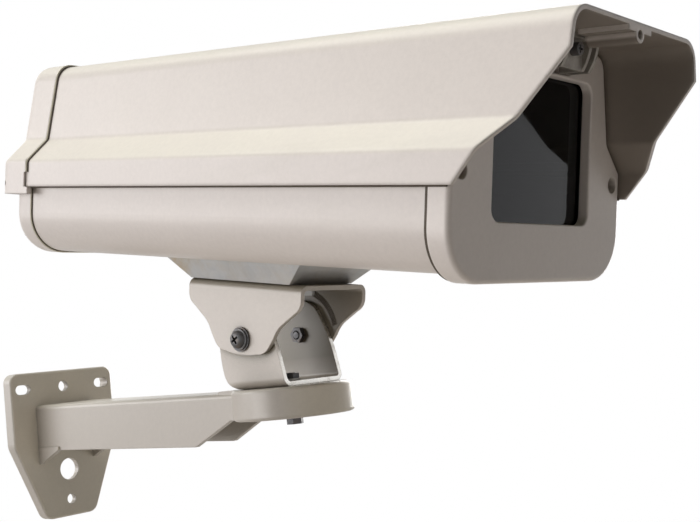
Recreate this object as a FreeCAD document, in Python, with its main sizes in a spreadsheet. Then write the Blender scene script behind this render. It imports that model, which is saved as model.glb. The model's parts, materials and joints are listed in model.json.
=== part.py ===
import FreeCAD, Part
import math
import os
import re
import Sketcher
from FreeCAD import Placement, Rotation, Vector

# Security camera housing on a wall bracket, in millimetres and degrees.
# Row frame: the wall is the plane X = 0, X points away from it, Z is up, and the two upper slots
# of the wall plate lie at Z = 0. Housing frame: x forward from the face of the front bezel,
# z up from the line between body and lid. The housing noses down about the pivot screws.

SIZES = dict(
    # wall plate, arm and round head, one casting
    plate_thick=8, plate_web=4, plate_rim=4, plate_top=10.5, plate_half=39, plate_taper_from=36,
    plate_foot_half=18.5, plate_foot=84.7, slot_spread=60, slot_length=11, slot_width=6,
    centre_hole=7, foot_hole=6.5, foot_hole_drop=73.7, cable_hole=14, cable_hole_drop=54.3,
    reach=218, head_drop=11.9, head_radius=32.5, head_thick=16.3, head_roof=6, head_wall=4,
    head_boss=12, arm_wall=3, arm_half_back=22, arm_half_front=14, arm_rise=2.7, arm_step=1.8,
    arm_height=28.7, arm_round=2.5, slope_start=65.5, slope_end=34.6, collar_start=44,
    collar_end=30, gusset_reach=22, gusset_drop=9, gusset_wall=3.4,
    plate_round=1.5, plate_top_round=6, plate_foot_round=7, plate_side_round=10, head_round=1.8,
    # pan bolt
    pan_bolt=5, bolt_play=0.25, pan_flange=5.2, pan_flange_thick=1.4, pan_hex=8, pan_hex_thick=3,
    pan_nut_thick=2.7, pan_bolt_end=0.4, washer_thick=1, pan_washer=10,
    # swivel bracket, a folded U on the head
    swivel_sheet=2.5, swivel_half=22.2, swivel_back=17, swivel_front=16.9, ear_round=22,
    pivot_back=9.3, pivot_rise=26.8,
    ear_foot=3, ear_lean=2.6, ear_turn=15.5, ear_front_curve=90, ear_front=13.5, ear_front_up=13.5,
    ear_back=13, ear_back_up=16.5, ear_tail=20, ear_tail_curve=60, ear_heel=11, ear_heel_up=9.5,
    ear_heel_curve=12,
    # tilt yoke, a folded U turned over
    yoke_sheet=2.5, yoke_half=25, yoke_rise=30.5, yoke_reach=42.5, yoke_shoulder=22, yoke_lobe=8.2,
    yoke_corner_up=2, yoke_corner=8, yoke_flank_in=4.5, yoke_flank_drop=6, yoke_waist_in=14,
    yoke_waist=9, yoke_waist_curve=20, yoke_hip_in=19, yoke_hip=2, yoke_hem_in=22, yoke_hem=2.5,
    yoke_hem_curve=10, yoke_base_half=12, yoke_base_up=1.2, yoke_base_curve=60,
    # pivot screws
    pivot_screw=5, pivot_head=5.8, pivot_head_thick=4, pivot_head_round=2.2, pivot_cut=3.2,
    pivot_washer=6.5, pivot_washer_thick=1.2, pivot_nut=8, pivot_nut_thick=2.7, pivot_screw_end=0.6,
    pivot_nut_play=0.1,
    # adapter plate, a folded tray, and its bolts
    adapter_rise=11.4, adapter_sheet=2, adapter_back=42, adapter_front=33, adapter_half=24,
    adapter_flare=7, adapter_tail=14, adapter_bolt=6, adapter_bolt_spread=50, adapter_hex=10,
    adapter_hex_thick=4, adapter_nut_thick=5, adapter_shift=4, adapter_bolt_end=1.5,
    adapter_inset=0.2, adapter_lean=1.3,
    # rest pose and place of the housing on its pivot
    rest_tilt=10, pivot_behind=165,
    # lower body, an extrusion
    body_half=69.5, body_depth=36.5, body_wall=2.2, body_round=22, body_rim=11.5, body_back=296.5,
    port_radius=4.4, port_bore=2, port_in=6.3, port_up=6.6, port_sink=0.8,
    rail_half=26, rail_wall=2, rail_lip=3, lip_thick=1.5, groove_up=9, groove_height=2.5,
    # front bezel
    bezel_depth=10.8, bezel_wall=3.5, bezel_plate=5, bezel_gap=1.2, bezel_round=8, bezel_fold=2,
    bezel_over=1.5, bezel_drop=3.5, bezel_edge=2.4, window_edge=0.8,
    window_half=40.5, window_low=13.7, window_high=52.5, window_round=5.5, glass_margin=5,
    face_hole=3.9, face_hole_depth=8, boss_half=30, boss_off=8.2, boss_radius=3.1,
    recess_half=21, recess_depth=3, recess_low=54, recess_round=3, notch_play=0.7,
    notch_drop=0.6, notch_room=1, boss_drop=0.6, bezel_screw_length=20,
    # glass and its seals
    window_seal=1, glass_thick=3, retainer_thick=1.5, joint_seal=1.6, seal_trim=0.2,
    front_seal_in=0.4, front_seal_band=3, pane_round=2, retainer_round=5, retainer_hole_round=4,
    retainer_foot=8, retainer_slot=6, retainer_play=0.5,
    # upper cover, an extrusion: lid, sunshield and visor
    cover_wall=2, skirt_gap=2.5, skirt_rise=14.2, shoulder_in=13, shoulder_top=27.2,
    crown_in=7, crown_top=71, crown_round=11, fold_round=4, cover_overlap=3.5, visor_reach=43.7,
    visor_break=53.3, rib_stop=3, visor_foot=2.5, strip_half=10, strip_thick=2.2, cover_port=3.6,
    cover_port_up=66, side_port_in=13.5, mill_front=20, mill_back=14, rib_width=2.5,
    # rear caps and hinge
    lip_over=1.3, cap_wall=3, cap_overhang=10.5, lip_front=292.5, cap_foot=4.1, cap_round=11,
    tab_reach=2, tab_thick=3, notch_rise=8, notch_depth=1.3,
    shelf_thick=2, sunk_radius=3.8, sunk_depth=6.5, boss_wall=1.3,
    low_cap_back=310.3, low_lip_over=1, low_lip_reach=2.5, low_cap_round=7, hinge_out=4,
    hinge_up=2, hinge_pin=1.5, knuckle=3.2, knuckle_length=12, side_knuckle=6, hinge_half=42,
    hinge_play=0.1, lip_play=0.2, swing_room=1.2, relief_in=8,
    # lid seal and cable glands
    seal_width=4.5, seal_rise=2.6, seal_inset=0.2, gland_spread=36, gland_radius=6, gland_drop=19,
    gland_hex=19, gland_hex_thick=5, gland_nut=17, gland_nut_length=11, locknut=17,
    locknut_thick=3, plug_radius=3.5, gland_step=0.5, gland_end=2, gland_nut_end=3, gland_taper=2.2,
    # camera sled
    sled_length=190, sled_thick=2, sled_front=70, sled_slot=120, sled_slot_width=7,
    sled_screw=4, sled_screw_in=15, sled_screw_off=12, sled_knob=7, sled_knob_height=7.2,
    camera_screw=6.35, camera_screw_head=6,
    camera_screw_head_thick=2.2, camera_screw_length=9.5, camera_screw_back=150,
    # catch that holds the lid down at the front
    catch_back=0.8, catch_flange=2, catch_reach=16.2, catch_low=54, fin_outer=16, fin_inner=10,
    fin_thick=2, web_front=12, web_thick=2, catch_screw=4, catch_screw_up=62.6, catch_head=2.9,
    catch_head_thick=4, catch_nut=7, catch_nut_thick=2.6, catch_slope=4, catch_curve=26,
    catch_cut=2.4, catch_screw_end=0.8,
    # small screws and the gap between parts that move past each other
    small_screw=3.4, small_head=3.3, small_head_thick=1.7, screw=4, screw_head=3.5,
    screw_grip=9, thread_play=0.05, recess_cut=1.1,
    fit_gap=0.3,
)

doc = FreeCAD.newDocument("camera_housing")
sheet = doc.addObject("Spreadsheet::Sheet", "Sizes")
for row, (alias, number) in enumerate(SIZES.items(), start=1):
    sheet.set(f"A{row}", alias)
    sheet.set(f"B{row}", str(number))
    sheet.setAlias(f"B{row}", alias)
doc.recompute()

nodes = {}


def terms(text):
    """Write a sum of size names as an expression on the sheet"""
    return re.sub(r"[a-z_]+", lambda m: f"Sizes.{m[0]}" if m[0] in SIZES else m[0], text)


def value(text):
    """Number that an expression has now"""
    result = sheet.evalExpression(terms(text))
    return float(getattr(result, "Value", result))


def tie(thing, prop, text):
    """Bind a property to the sheet"""
    thing.setExpression(prop, terms(text))


def body_named(label):
    body = doc.addObject("PartDesign::Body", label)
    body.Label = label
    body.AllowCompound = True
    return body


def sketch_on(body, plane, offset="0"):
    """Empty sketch on one of the body's origin planes, moved along its normal"""
    flat = body.newObject("Sketcher::SketchObject", "Outline")
    base = next(part for part in body.Origin.OriginFeatures if part.Role == plane)
    flat.AttachmentSupport = [(base, "")]
    flat.MapMode = "FlatFace"
    tie(flat, "AttachmentOffset.Base.z", offset)
    return flat


def pin_point(flat, index, end, u, v):
    """Hold one point of a sketch at sheet values from the origin"""
    for kind, text in (("DistanceX", u), ("DistanceY", v)):
        number = flat.addConstraint(Sketcher.Constraint(kind, -1, 1, index, end, value(text)))
        tie(flat, f"Constraints[{number}]", text)


def add_radius(flat, index, text):
    number = flat.addConstraint(Sketcher.Constraint("Radius", index, value(text)))
    tie(flat, f"Constraints[{number}]", text)


def outline(flat, corners):
    """Closed outline. A corner is (u, v), or (u, v, radius, side) where an arc leads on to the
    next corner and swings out to the right of the way (side 1) or to its left (side -1)"""
    spots = [Vector(value(c[0]), value(c[1]), 0) for c in corners]
    starts, ends = [], []
    for here, corner in enumerate(corners):
        a, b = spots[here], spots[(here + 1) % len(corners)]
        if len(corner) == 2:
            index = flat.addGeometry(Part.LineSegment(a, b))
            starts.append((index, 1))
            ends.append((index, 2))
            continue
        radius, side = value(corner[2]), corner[3]
        way = (b - a).normalize()
        half = a.distanceToPoint(b) / 2
        left = Vector(-way.y, way.x, 0)
        centre = (a + b) * 0.5 + left * (side * math.sqrt(radius ** 2 - half ** 2))
        first, last = (a, b) if side > 0 else (b, a)
        from_x = math.atan2(first.y - centre.y, first.x - centre.x)
        to_x = math.atan2(last.y - centre.y, last.x - centre.x)
        round_line = Part.Circle(centre, Vector(0, 0, 1), radius)
        index = flat.addGeometry(Part.ArcOfCircle(round_line, from_x, to_x))
        starts.append((index, 1 if side > 0 else 2))
        ends.append((index, 2 if side > 0 else 1))
    for here, corner in enumerate(corners):
        after = (here + 1) % len(corners)
        flat.addConstraint(Sketcher.Constraint("Coincident", *ends[here], *starts[after]))
        pin_point(flat, *starts[here], corner[0], corner[1])
    for here, corner in enumerate(corners):
        if len(corner) > 2:
            add_radius(flat, starts[here][0], corner[2])
    return flat


def rounded(flat, corners):
    """Closed outline of straight sides. A corner is (u, v), or (u, v, radius) where it is round"""
    spots = [Vector(value(c[0]), value(c[1]), 0) for c in corners]
    radii = [value(c[2]) if len(c) > 2 else 0 for c in corners]
    count = len(corners)
    ways = [(spots[(k + 1) % count] - spots[k]).normalize() for k in range(count)]
    turns = [ways[k - 1].x * ways[k].y - ways[k - 1].y * ways[k].x for k in range(count)]
    cuts = [radius * math.tan(abs(math.atan2(turn, ways[k - 1].dot(ways[k]))) / 2)
            for k, (radius, turn) in enumerate(zip(radii, turns))]
    sides = [flat.addGeometry(Part.LineSegment(spots[k] + ways[k] * cuts[k],
                                               spots[(k + 1) % count] - ways[k] * cuts[(k + 1) % count]))
             for k in range(count)]
    for k, corner in enumerate(corners):
        before, after = sides[k - 1], sides[k]
        if len(corner) == 2:
            flat.addConstraint(Sketcher.Constraint("Coincident", before, 2, after, 1))
            pin_point(flat, after, 1, corner[0], corner[1])
            continue
        way = 1 if turns[k] > 0 else -1
        left = Vector(-ways[k].y, ways[k].x, 0)
        centre = spots[k] + ways[k] * cuts[k] + left * (way * radii[k])
        first, last = spots[k] - ways[k - 1] * cuts[k], spots[k] + ways[k] * cuts[k]
        if way < 0:
            first, last = last, first
        arc = flat.addGeometry(Part.ArcOfCircle(
            Part.Circle(centre, Vector(0, 0, 1), radii[k]),
            math.atan2(first.y - centre.y, first.x - centre.x),
            math.atan2(last.y - centre.y, last.x - centre.x)))
        corner_point = flat.addGeometry(Part.Point(spots[k]), True)
        pin_point(flat, corner_point, 1, corner[0], corner[1])
        for side in (before, after):
            flat.addConstraint(Sketcher.Constraint("PointOnObject", corner_point, 1, side))
        near, far = (1, 2) if way > 0 else (2, 1)
        flat.addConstraint(Sketcher.Constraint("Tangent", before, 2, arc, near))
        flat.addConstraint(Sketcher.Constraint("Tangent", arc, far, after, 1))
        add_radius(flat, arc, corner[2])
    return flat


def box_outline(flat, low_u, low_v, high_u, high_v):
    return outline(flat, [(low_u, low_v), (high_u, low_v), (high_u, high_v), (low_u, high_v)])


def circle(flat, u, v, radius):
    index = flat.addGeometry(Part.Circle(Vector(value(u), value(v), 0), Vector(0, 0, 1),
                                         value(radius)))
    pin_point(flat, index, 3, u, v)
    add_radius(flat, index, radius)
    return flat


def slot(flat, u, v, length, width):
    """Round ended slot along the sketch's first axis"""
    reach = f"(({length}) - ({width})) / 2"
    radius = value(f"({width}) / 2")
    middle = Vector(value(u), value(v), 0)
    out = Vector(value(reach), 0, 0)
    up = Vector(0, radius, 0)
    right = flat.addGeometry(Part.ArcOfCircle(
        Part.Circle(middle + out, Vector(0, 0, 1), radius), -math.pi / 2, math.pi / 2))
    left = flat.addGeometry(Part.ArcOfCircle(
        Part.Circle(middle - out, Vector(0, 0, 1), radius), math.pi / 2, 3 * math.pi / 2))
    top = flat.addGeometry(Part.LineSegment(middle + out + up, middle - out + up))
    foot = flat.addGeometry(Part.LineSegment(middle - out - up, middle + out - up))
    for arc, sign in ((right, "+"), (left, "-")):
        pin_point(flat, arc, 3, f"({u}) {sign} {reach}", v)
        add_radius(flat, arc, f"({width}) / 2")
        for end in (1, 2):
            flat.addConstraint(Sketcher.Constraint("Vertical", arc, 3, arc, end))
    for one, end, other, start in ((right, 2, top, 1), (top, 2, left, 1),
                                   (left, 2, foot, 1), (foot, 2, right, 1)):
        flat.addConstraint(Sketcher.Constraint("Coincident", one, end, other, start))
    return flat


def pad(body, flat, length, both=False, back=False):
    """Grow a sketch along its normal, against it, or both ways"""
    step = body.newObject("PartDesign::Pad", "Pad")
    step.Profile = flat
    tie(step, "Length", length)
    step.Midplane = both
    step.Reversed = back
    return step


def pocket(body, flat, length=None, both=False, back=False):
    """Cut a sketch into the body against its normal, along it (back), or both ways"""
    doc.recompute()
    before = body.Tip.Shape.Volume
    step = body.newObject("PartDesign::Pocket", "Pocket")
    step.Profile = flat
    if length is None:
        step.Type = "ThroughAll"
    else:
        tie(step, "Length", length)
    step.Midplane = both
    step.Reversed = back
    doc.recompute()
    if not step.Shape.Volume < before - 1e-6:
        raise RuntimeError(f"{body.Label}: a pocket cut nothing")
    return step


def folded_channel(body, half, sheet_thick, web, tips, up, bend=None, at="0"):
    """U of bent sheet along x: web is the height of its outer face, tips that of its two edges,
    up is 1 where the tips stand above the web and -1 where they hang below it"""
    sign = "+" if up > 0 else "-"
    bend = bend or f"(1.8 * {sheet_thick})"
    bent = f"({web}) {sign} {bend}"
    inner = f"({half} - {sheet_thick})"
    floor = f"({web}) {sign} {sheet_thick}"
    left = [(f"-{half}", tips), (f"-{half}", bent, bend, up), (f"-{half} + {bend}", web)]
    right = [(f"{half} - {bend}", web, bend, up), (half, bent), (half, tips), (inner, tips)]
    inside = [(inner, bent, f"({bend} - {sheet_thick})", -up), (f"{half} - {bend}", floor),
              (f"-{half} + {bend}", floor, f"({bend} - {sheet_thick})", -up),
              (f"-{inner}", bent), (f"-{inner}", tips)]
    return outline(sketch_on(body, "YZ_Plane", at), left + right + inside)


def trim_sides(body, corners, around):
    """Cut away what lies outside an outline seen from the side"""
    flat = sketch_on(body, "XZ_Plane")
    box_outline(flat, f"-({around})", f"-({around})", around, around)
    outline(flat, corners)
    return pocket(body, flat, None, both=True)


def straight_edges(shape, axis, spots, reach):
    """Names of the straight edges along an axis that pass the spots in the other two axes"""
    names = []
    rest = [k for k in range(3) if k != axis]
    for number, edge in enumerate(shape.Edges, start=1):
        if edge.Curve.TypeId != "Part::GeomLine":
            continue
        way = edge.Vertexes[-1].Point - edge.Vertexes[0].Point
        if abs(way[axis]) < 0.98 * way.Length:
            continue
        middle = (edge.Vertexes[-1].Point + edge.Vertexes[0].Point) * 0.5
        if any(math.hypot(middle[rest[0]] - u, middle[rest[1]] - v) < reach
               for u, v in spots):
            names.append(f"Edge{number}")
    return names


def edges_where(shape, test):
    """Names of the edges whose every corner and middle point pass a test"""
    names = []
    for number, edge in enumerate(shape.Edges, start=1):
        middle = edge.valueAt((edge.FirstParameter + edge.LastParameter) / 2)
        if all(test(point) for point in [middle] + [v.Point for v in edge.Vertexes]):
            names.append(f"Edge{number}")
    return names


def fillet(body, names, radius):
    base = body.Tip
    step = body.newObject("PartDesign::Fillet", "Fillet")
    step.Base = (base, names)
    tie(step, "Radius", radius)
    doc.recompute()
    if "Invalid" in step.State:
        raise RuntimeError(f"{body.Label}: {len(names)} edges can't take a radius of {radius}")
    return step


def corner_fillet(body, axis, spots, radius, reach=1.0):
    """Round the long edges that pass the given spots"""
    doc.recompute()
    places = [(value(u), value(v)) for u, v in spots]
    names = straight_edges(body.Tip.Shape, axis, places, reach)
    if not names:
        raise RuntimeError(f"{body.Label}: no edge to round")
    return fillet(body, names, radius)


def rod(radius, length, at, along="x"):
    """Cylinder from a point along one axis of its frame"""
    piece = doc.addObject("Part::Cylinder", "Rod")
    tie(piece, "Radius", radius)
    tie(piece, "Height", length)
    return stand(piece, at, along)


def prism(flats, length, at, along="x", turn=0):
    """Six sided bar, its width measured across the flats"""
    piece = doc.addObject("Part::Prism", "Hex")
    piece.Polygon = 6
    tie(piece, "Circumradius", f"({flats}) / sqrt(3)")
    tie(piece, "Height", length)
    return stand(piece, at, along, turn)


def block(size, at):
    """Box by its lengths and its lowest corner"""
    piece = doc.addObject("Part::Box", "Block")
    for prop, text in zip(("Length", "Width", "Height"), size):
        tie(piece, prop, text)
    return stand(piece, at, "z")


WAYS = {"x": Rotation(Vector(0, 0, 1), Vector(1, 0, 0)), "-x": Rotation(Vector(0, 0, 1), Vector(-1, 0, 0)),
        "y": Rotation(Vector(0, 0, 1), Vector(0, 1, 0)), "-y": Rotation(Vector(0, 0, 1), Vector(0, -1, 0)),
        "z": Rotation(), "-z": Rotation(Vector(1, 0, 0), 180)}


def stand(piece, at, along, turn=0):
    spin = Rotation(Vector(0, 0, 1), turn)
    piece.Placement = Placement(Vector(*[value(text) for text in at]), WAYS[along] * spin)
    for axis, text in zip("xyz", at):
        tie(piece, f"Placement.Base.{axis}", text)
    return piece


def fuse(*pieces):
    whole = doc.addObject("Part::MultiFuse", "Fuse")
    whole.Shapes = list(pieces)
    return whole


def cut(base, *tools):
    for tool in tools:
        less = doc.addObject("Part::Cut", "Cut")
        less.Base, less.Tool = base, tool
        base = less
    return base


def overlap(one, other):
    both = doc.addObject("Part::Common", "Common")
    both.Base, both.Tool = one, other
    return both


def group(*pieces):
    """Like fasteners as separate solids of one node"""
    whole = doc.addObject("Part::Compound", "Group")
    whole.Links = list(pieces)
    return whole


def cross_cut(radius, depth, at, along):
    """Cross recess of a screw head, two slots that meet"""
    length, width = f"1.3 * ({radius})", f"0.34 * ({radius})"
    arms = []
    for turn in (0, 90):
        arm = doc.addObject("Part::Box", "Slot")
        for prop, text in zip(("Length", "Width", "Height"), (length, width, depth)):
            tie(arm, prop, text)
        back = Vector(-value(length) / 2, -value(width) / 2, -value(depth) / 2)
        spin = WAYS[along] * Rotation(Vector(0, 0, 1), turn)
        arm.Placement = Placement(Vector(*[value(text) for text in at]) + spin.multVec(back), spin)
        arms.append(arm)
    return fuse(*arms)


def name_node(label, piece, frame="wall"):
    """Give a finished sub-part its name and its place"""
    piece.Label = label
    x, z, tilted = FRAMES[frame]
    turn = value("rest_tilt") if tilted else 0
    piece.Placement = Placement(Vector(value(x), 0, value(z)), Rotation(Vector(0, 1, 0), turn))
    tie(piece, "Placement.Base.x", x)
    tie(piece, "Placement.Base.z", z)
    if tilted:
        tie(piece, "Placement.Rotation.Angle", "rest_tilt")
    nodes[label] = piece


PIVOT_X = "(reach - pivot_back)"
PIVOT_Z = "(pivot_rise - head_drop)"
BELOW = "(body_depth + adapter_rise + yoke_rise)"
FRAMES = {
    "wall": ("0", "0", False),
    "head": ("reach", "-head_drop", False),
    "pivot": (PIVOT_X, PIVOT_Z, True),
    "housing": (f"{PIVOT_X} + pivot_behind * cos(rest_tilt * 1deg) + {BELOW} * sin(rest_tilt * 1deg)",
                f"{PIVOT_Z} - pivot_behind * sin(rest_tilt * 1deg) + {BELOW} * cos(rest_tilt * 1deg)",
                True),
}


# Bell outline of the lid, shared by cover, bezel, gasket and rear cap

COVER_HALF = "(body_half + cover_wall + skirt_gap)"
SHOULDER_HALF = f"({COVER_HALF} - shoulder_in)"
CROWN_HALF = f"({SHOULDER_HALF} - crown_in)"
COVER_BACK = "(lip_front + cover_overlap)"
CAP_BACK = "(low_cap_back + cap_overhang)"
HINGE_BACK = "(low_cap_back + hinge_out)"
LEAN_LOW = "atan(shoulder_in / (shoulder_top - skirt_rise))"
LEAN_HIGH = "atan(crown_in / (crown_top - shoulder_top))"


def bell(grow, foot, fold="fold_round", crown="crown_round"):
    """Right hand corners of the bell from its foot to its crown, moved outward by grow"""
    join = f"(({grow}) / (1 + cos({LEAN_LOW} - {LEAN_HIGH})))"
    return [(f"{COVER_HALF} + ({grow})", foot),
            (f"{COVER_HALF} + ({grow})", f"skirt_rise + ({grow}) * tan({LEAN_LOW} / 2)", fold),
            (f"{SHOULDER_HALF} + {join} * (cos({LEAN_LOW}) + cos({LEAN_HIGH}))",
             f"shoulder_top + {join} * (sin({LEAN_LOW}) + sin({LEAN_HIGH}))", fold),
            (f"{CROWN_HALF} + ({grow}) * (1 - sin({LEAN_HIGH})) / cos({LEAN_HIGH})",
             f"crown_top + ({grow})", crown)]


def mirrored(corners):
    """Add the left hand corners of an outline that is alike on both sides"""
    return corners + [(f"-({corner[0]})", *corner[1:]) for corner in reversed(corners)]


def full_bell(grow, foot, fold="fold_round", crown="crown_round"):
    return mirrored(bell(grow, foot, fold, crown))


def trough_corners(grow, top):
    """Corners of the lower body's outline, moved outward by grow and closed at the top"""
    half, foot, radius = f"(body_half + ({grow}))", f"-body_depth - ({grow})", f"body_round + ({grow})"
    return [(f"-{half}", top), (f"-{half}", foot, radius), (half, foot, radius), (half, top)]


def bezel_corners(grow):
    """Corners of the front bezel: the body's outline below, the bell inside the cover above"""
    inside = f"({grow} - cover_wall - bezel_gap)"
    half = f"(body_half + bezel_over + {grow})"
    low, turn, shoulder, crown = bell(inside, "0", "fold_round", f"bezel_round + {grow}")
    turn = (half, f"{turn[1]} + ({COVER_HALF} + {inside} - {half}) / tan({LEAN_LOW})", "bezel_fold")
    foot = (half, f"-body_depth - bezel_drop - ({grow})", f"body_round + bezel_over + {grow}")
    return mirrored([foot, turn, shoulder, crown])


def both_sides(*spots):
    return [(f"{sign}({u})", v) for u, v in spots for sign in ("", "-")]


def rounded_box(flat, half, low, high, radius):
    """Rectangle alike on both sides of the sketch's upright axis, with round corners"""
    return rounded(flat, [(f"-({half})", low, radius), (half, low, radius), (half, high, radius),
                          (f"-({half})", high, radius)])


# Wall bracket

NUT_TURN = 30


def arm_section(body, x, half, top):
    """Inverted channel section of the arm at one place along it"""
    flat = sketch_on(body, "YZ_Plane", x)
    low = f"({top}) - arm_height"
    roof = f"({top}) - arm_wall"
    return outline(flat, [(f"-({half})", low), (f"-({half}) + arm_wall", low),
                          (f"-({half}) + arm_wall", roof), (f"({half}) - arm_wall", roof),
                          (f"({half}) - arm_wall", low), (half, low),
                          (half, f"({top}) - arm_round", "arm_round", 1),
                          (f"({half}) - arm_round", top),
                          (f"-({half}) + arm_round", top, "arm_round", 1),
                          (f"-({half})", f"({top}) - arm_round")])


def make_wall_arm():
    body = body_named("wall_arm")
    floor = "-head_drop - head_thick"
    pad(body, circle(sketch_on(body, "XY_Plane", floor), "reach", "0", "head_radius"),
        "head_thick")
    doc.recompute()
    fillet(body, edges_where(body.Tip.Shape, lambda p: True), "head_round")
    plate = [("-plate_half", "plate_top"), ("-plate_half", "-plate_taper_from"),
             ("-plate_foot_half", "-plate_foot"), ("plate_foot_half", "-plate_foot"),
             ("plate_half", "-plate_taper_from"), ("plate_half", "plate_top")]
    pad(body, outline(sketch_on(body, "YZ_Plane"), plate), "plate_thick")
    corner_fillet(body, 0, [plate[0], plate[5]], "plate_top_round")
    corner_fillet(body, 0, [plate[2], plate[3]], "plate_foot_round")
    corner_fillet(body, 0, [plate[1], plate[4]], "plate_side_round")
    face = value("plate_thick")
    reach = value("reach") / 2
    fillet(body, edges_where(body.Tip.Shape, lambda p: face - 0.01 < p.x < reach), "plate_round")
    inset = [("-plate_half + plate_rim", "plate_top - plate_rim"),
             ("-plate_half + plate_rim", "-plate_taper_from"),
             ("-plate_foot_half + plate_rim", "-plate_foot + plate_rim"),
             ("plate_foot_half - plate_rim", "-plate_foot + plate_rim"),
             ("plate_half - plate_rim", "-plate_taper_from"),
             ("plate_half - plate_rim", "plate_top - plate_rim")]
    pocket(body, outline(sketch_on(body, "YZ_Plane"), inset), "plate_thick - plate_web", back=True)
    # arm, tapering from the plate to the head
    loft = body.newObject("PartDesign::AdditiveLoft", "Arm")
    loft.Profile = arm_section(body, "plate_thick - plate_web / 2", "arm_half_back",
                               "arm_rise - arm_step - head_drop")
    loft.Sections = [arm_section(body, "reach - head_boss", "arm_half_front",
                                 "-arm_step - head_drop")]
    loft.Ruled = True
    doc.recompute()
    # gussets that carry the arm's walls down the plate
    for side in ("-1", "1"):
        inner = f"({side}) * (arm_half_back - arm_wall / 2)"
        flat = sketch_on(body, "XZ_Plane", f"-({inner})")
        low = "(arm_rise - arm_step - head_drop - arm_height)"
        outline(flat, [("plate_web", f"{low} + 2"), ("plate_web", f"{low} - gusset_drop"),
                       ("plate_thick + 1", f"{low} - gusset_drop"),
                       ("plate_thick + gusset_reach", f"{low}"),
                       ("plate_thick + gusset_reach", f"{low} + 2")])
        pad(body, flat, "gusset_wall", both=True)
    # collar where the arm rises to the head
    flat = sketch_on(body, "XZ_Plane")
    box_outline(flat, "reach - collar_start", "-head_drop - arm_wall - arm_step",
                "reach - collar_end", "-head_drop")
    pad(body, flat, "2 * arm_half_front", both=True)
    corner_fillet(body, 1, [("reach - collar_start", "-head_drop")], "plate_round")
    # slope that takes the arm's walls up to the underside of the head
    flat = sketch_on(body, "XZ_Plane")
    foot = "-arm_step - head_drop - arm_height"
    outline(flat, [("reach - slope_start", f"{foot} - 0.01"),
                   ("reach - slope_end", floor), ("reach + head_radius + 1", floor),
                   ("reach + head_radius + 1", f"{foot} - 3"),
                   ("reach - slope_start", f"{foot} - 3")])
    pocket(body, flat, "4 * arm_half_back", both=True)
    flat = sketch_on(body, "XY_Plane", floor)
    circle(flat, "reach", "0", "head_radius - head_wall")
    circle(flat, "reach", "0", "head_boss")
    pocket(body, flat, "head_thick - head_roof", back=True)
    # holes
    flat = sketch_on(body, "XY_Plane")
    circle(flat, "reach", "0", "pan_bolt / 2 + bolt_play")
    pocket(body, flat, "4 * head_thick", both=True)
    flat = sketch_on(body, "YZ_Plane")
    for side in ("-", ""):
        slot(flat, f"{side}slot_spread / 2", "0", "slot_length", "slot_width")
    circle(flat, "0", "0", "centre_hole / 2")
    circle(flat, "0", "-foot_hole_drop", "foot_hole / 2")
    circle(flat, "0", "-cable_hole_drop", "cable_hole / 2")
    pocket(body, flat, "4 * plate_thick", both=True)
    name_node("wall_arm", body)


def make_pan_bolt():
    """Flanged hex bolt up through the head with a thin nut, in the head's frame"""
    flange_foot = "-head_thick - pan_flange_thick"
    seat = "swivel_sheet + washer_thick"
    top = f"({seat} + pan_nut_thick + pan_bolt_end)"
    flange = rod("pan_flange", "pan_flange_thick", ("0", "0", flange_foot), "z")
    head = prism("pan_hex", "pan_hex_thick", ("0", "0", f"{flange_foot} - pan_hex_thick"), "z")
    shank = rod("pan_bolt / 2", f"{top} + head_thick", ("0", "0", "-head_thick"), "z")
    name_node("pan_bolt", fuse(flange, head, shank), "head")
    ring = rod("pan_washer / 2", "washer_thick", ("0", "0", "swivel_sheet"), "z")
    hole = rod("pan_bolt / 2 + bolt_play", "3 * washer_thick",
               ("0", "0", "swivel_sheet - washer_thick"), "z")
    name_node("pan_washer", cut(ring, hole), "head")
    nut = prism("pan_hex", "pan_nut_thick", ("0", "0", seat), "z", NUT_TURN)
    bore = rod("pan_bolt / 2", "3 * pan_nut_thick", ("0", "0", f"{seat} - pan_nut_thick"), "z")
    name_node("pan_nut", cut(nut, bore), "head")


def make_swivel_bracket():
    """Folded U that stands on the head, in the head's frame"""
    body = body_named("swivel_bracket")
    flat = folded_channel(body, "swivel_half", "swivel_sheet", "0", "2 * pivot_rise", 1)
    pad(body, flat, "5 * swivel_back", both=True)
    # rounded rear, dome over the pivot, front edge that leans back
    trim_sides(body, [("-swivel_back", "0"), ("swivel_front", "0"), ("swivel_front", "ear_foot"),
                      ("swivel_front - ear_lean", "ear_turn", "ear_front_curve", 1),
                      ("-pivot_back + ear_front", "pivot_rise + ear_front_up", "ear_round", 1),
                      ("-pivot_back - ear_back", "pivot_rise + ear_back_up", "ear_round - 1", 1),
                      ("-pivot_back - ear_tail", "pivot_rise", "ear_tail_curve", 1),
                      ("-swivel_back - ear_heel", "ear_heel_up", "ear_heel_curve", 1)],
               "4 * pivot_rise")
    flat = sketch_on(body, "XZ_Plane")
    circle(flat, "-pivot_back", "pivot_rise", "pivot_screw / 2 + bolt_play")
    pocket(body, flat, None, both=True)
    flat = sketch_on(body, "XY_Plane")
    circle(flat, "0", "0", "pan_bolt / 2 + bolt_play")
    pocket(body, flat, None, both=True)
    name_node("swivel_bracket", body, "head")


# Tilting yoke with its pivot screws and adapter plate, in the pivot's frame

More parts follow.
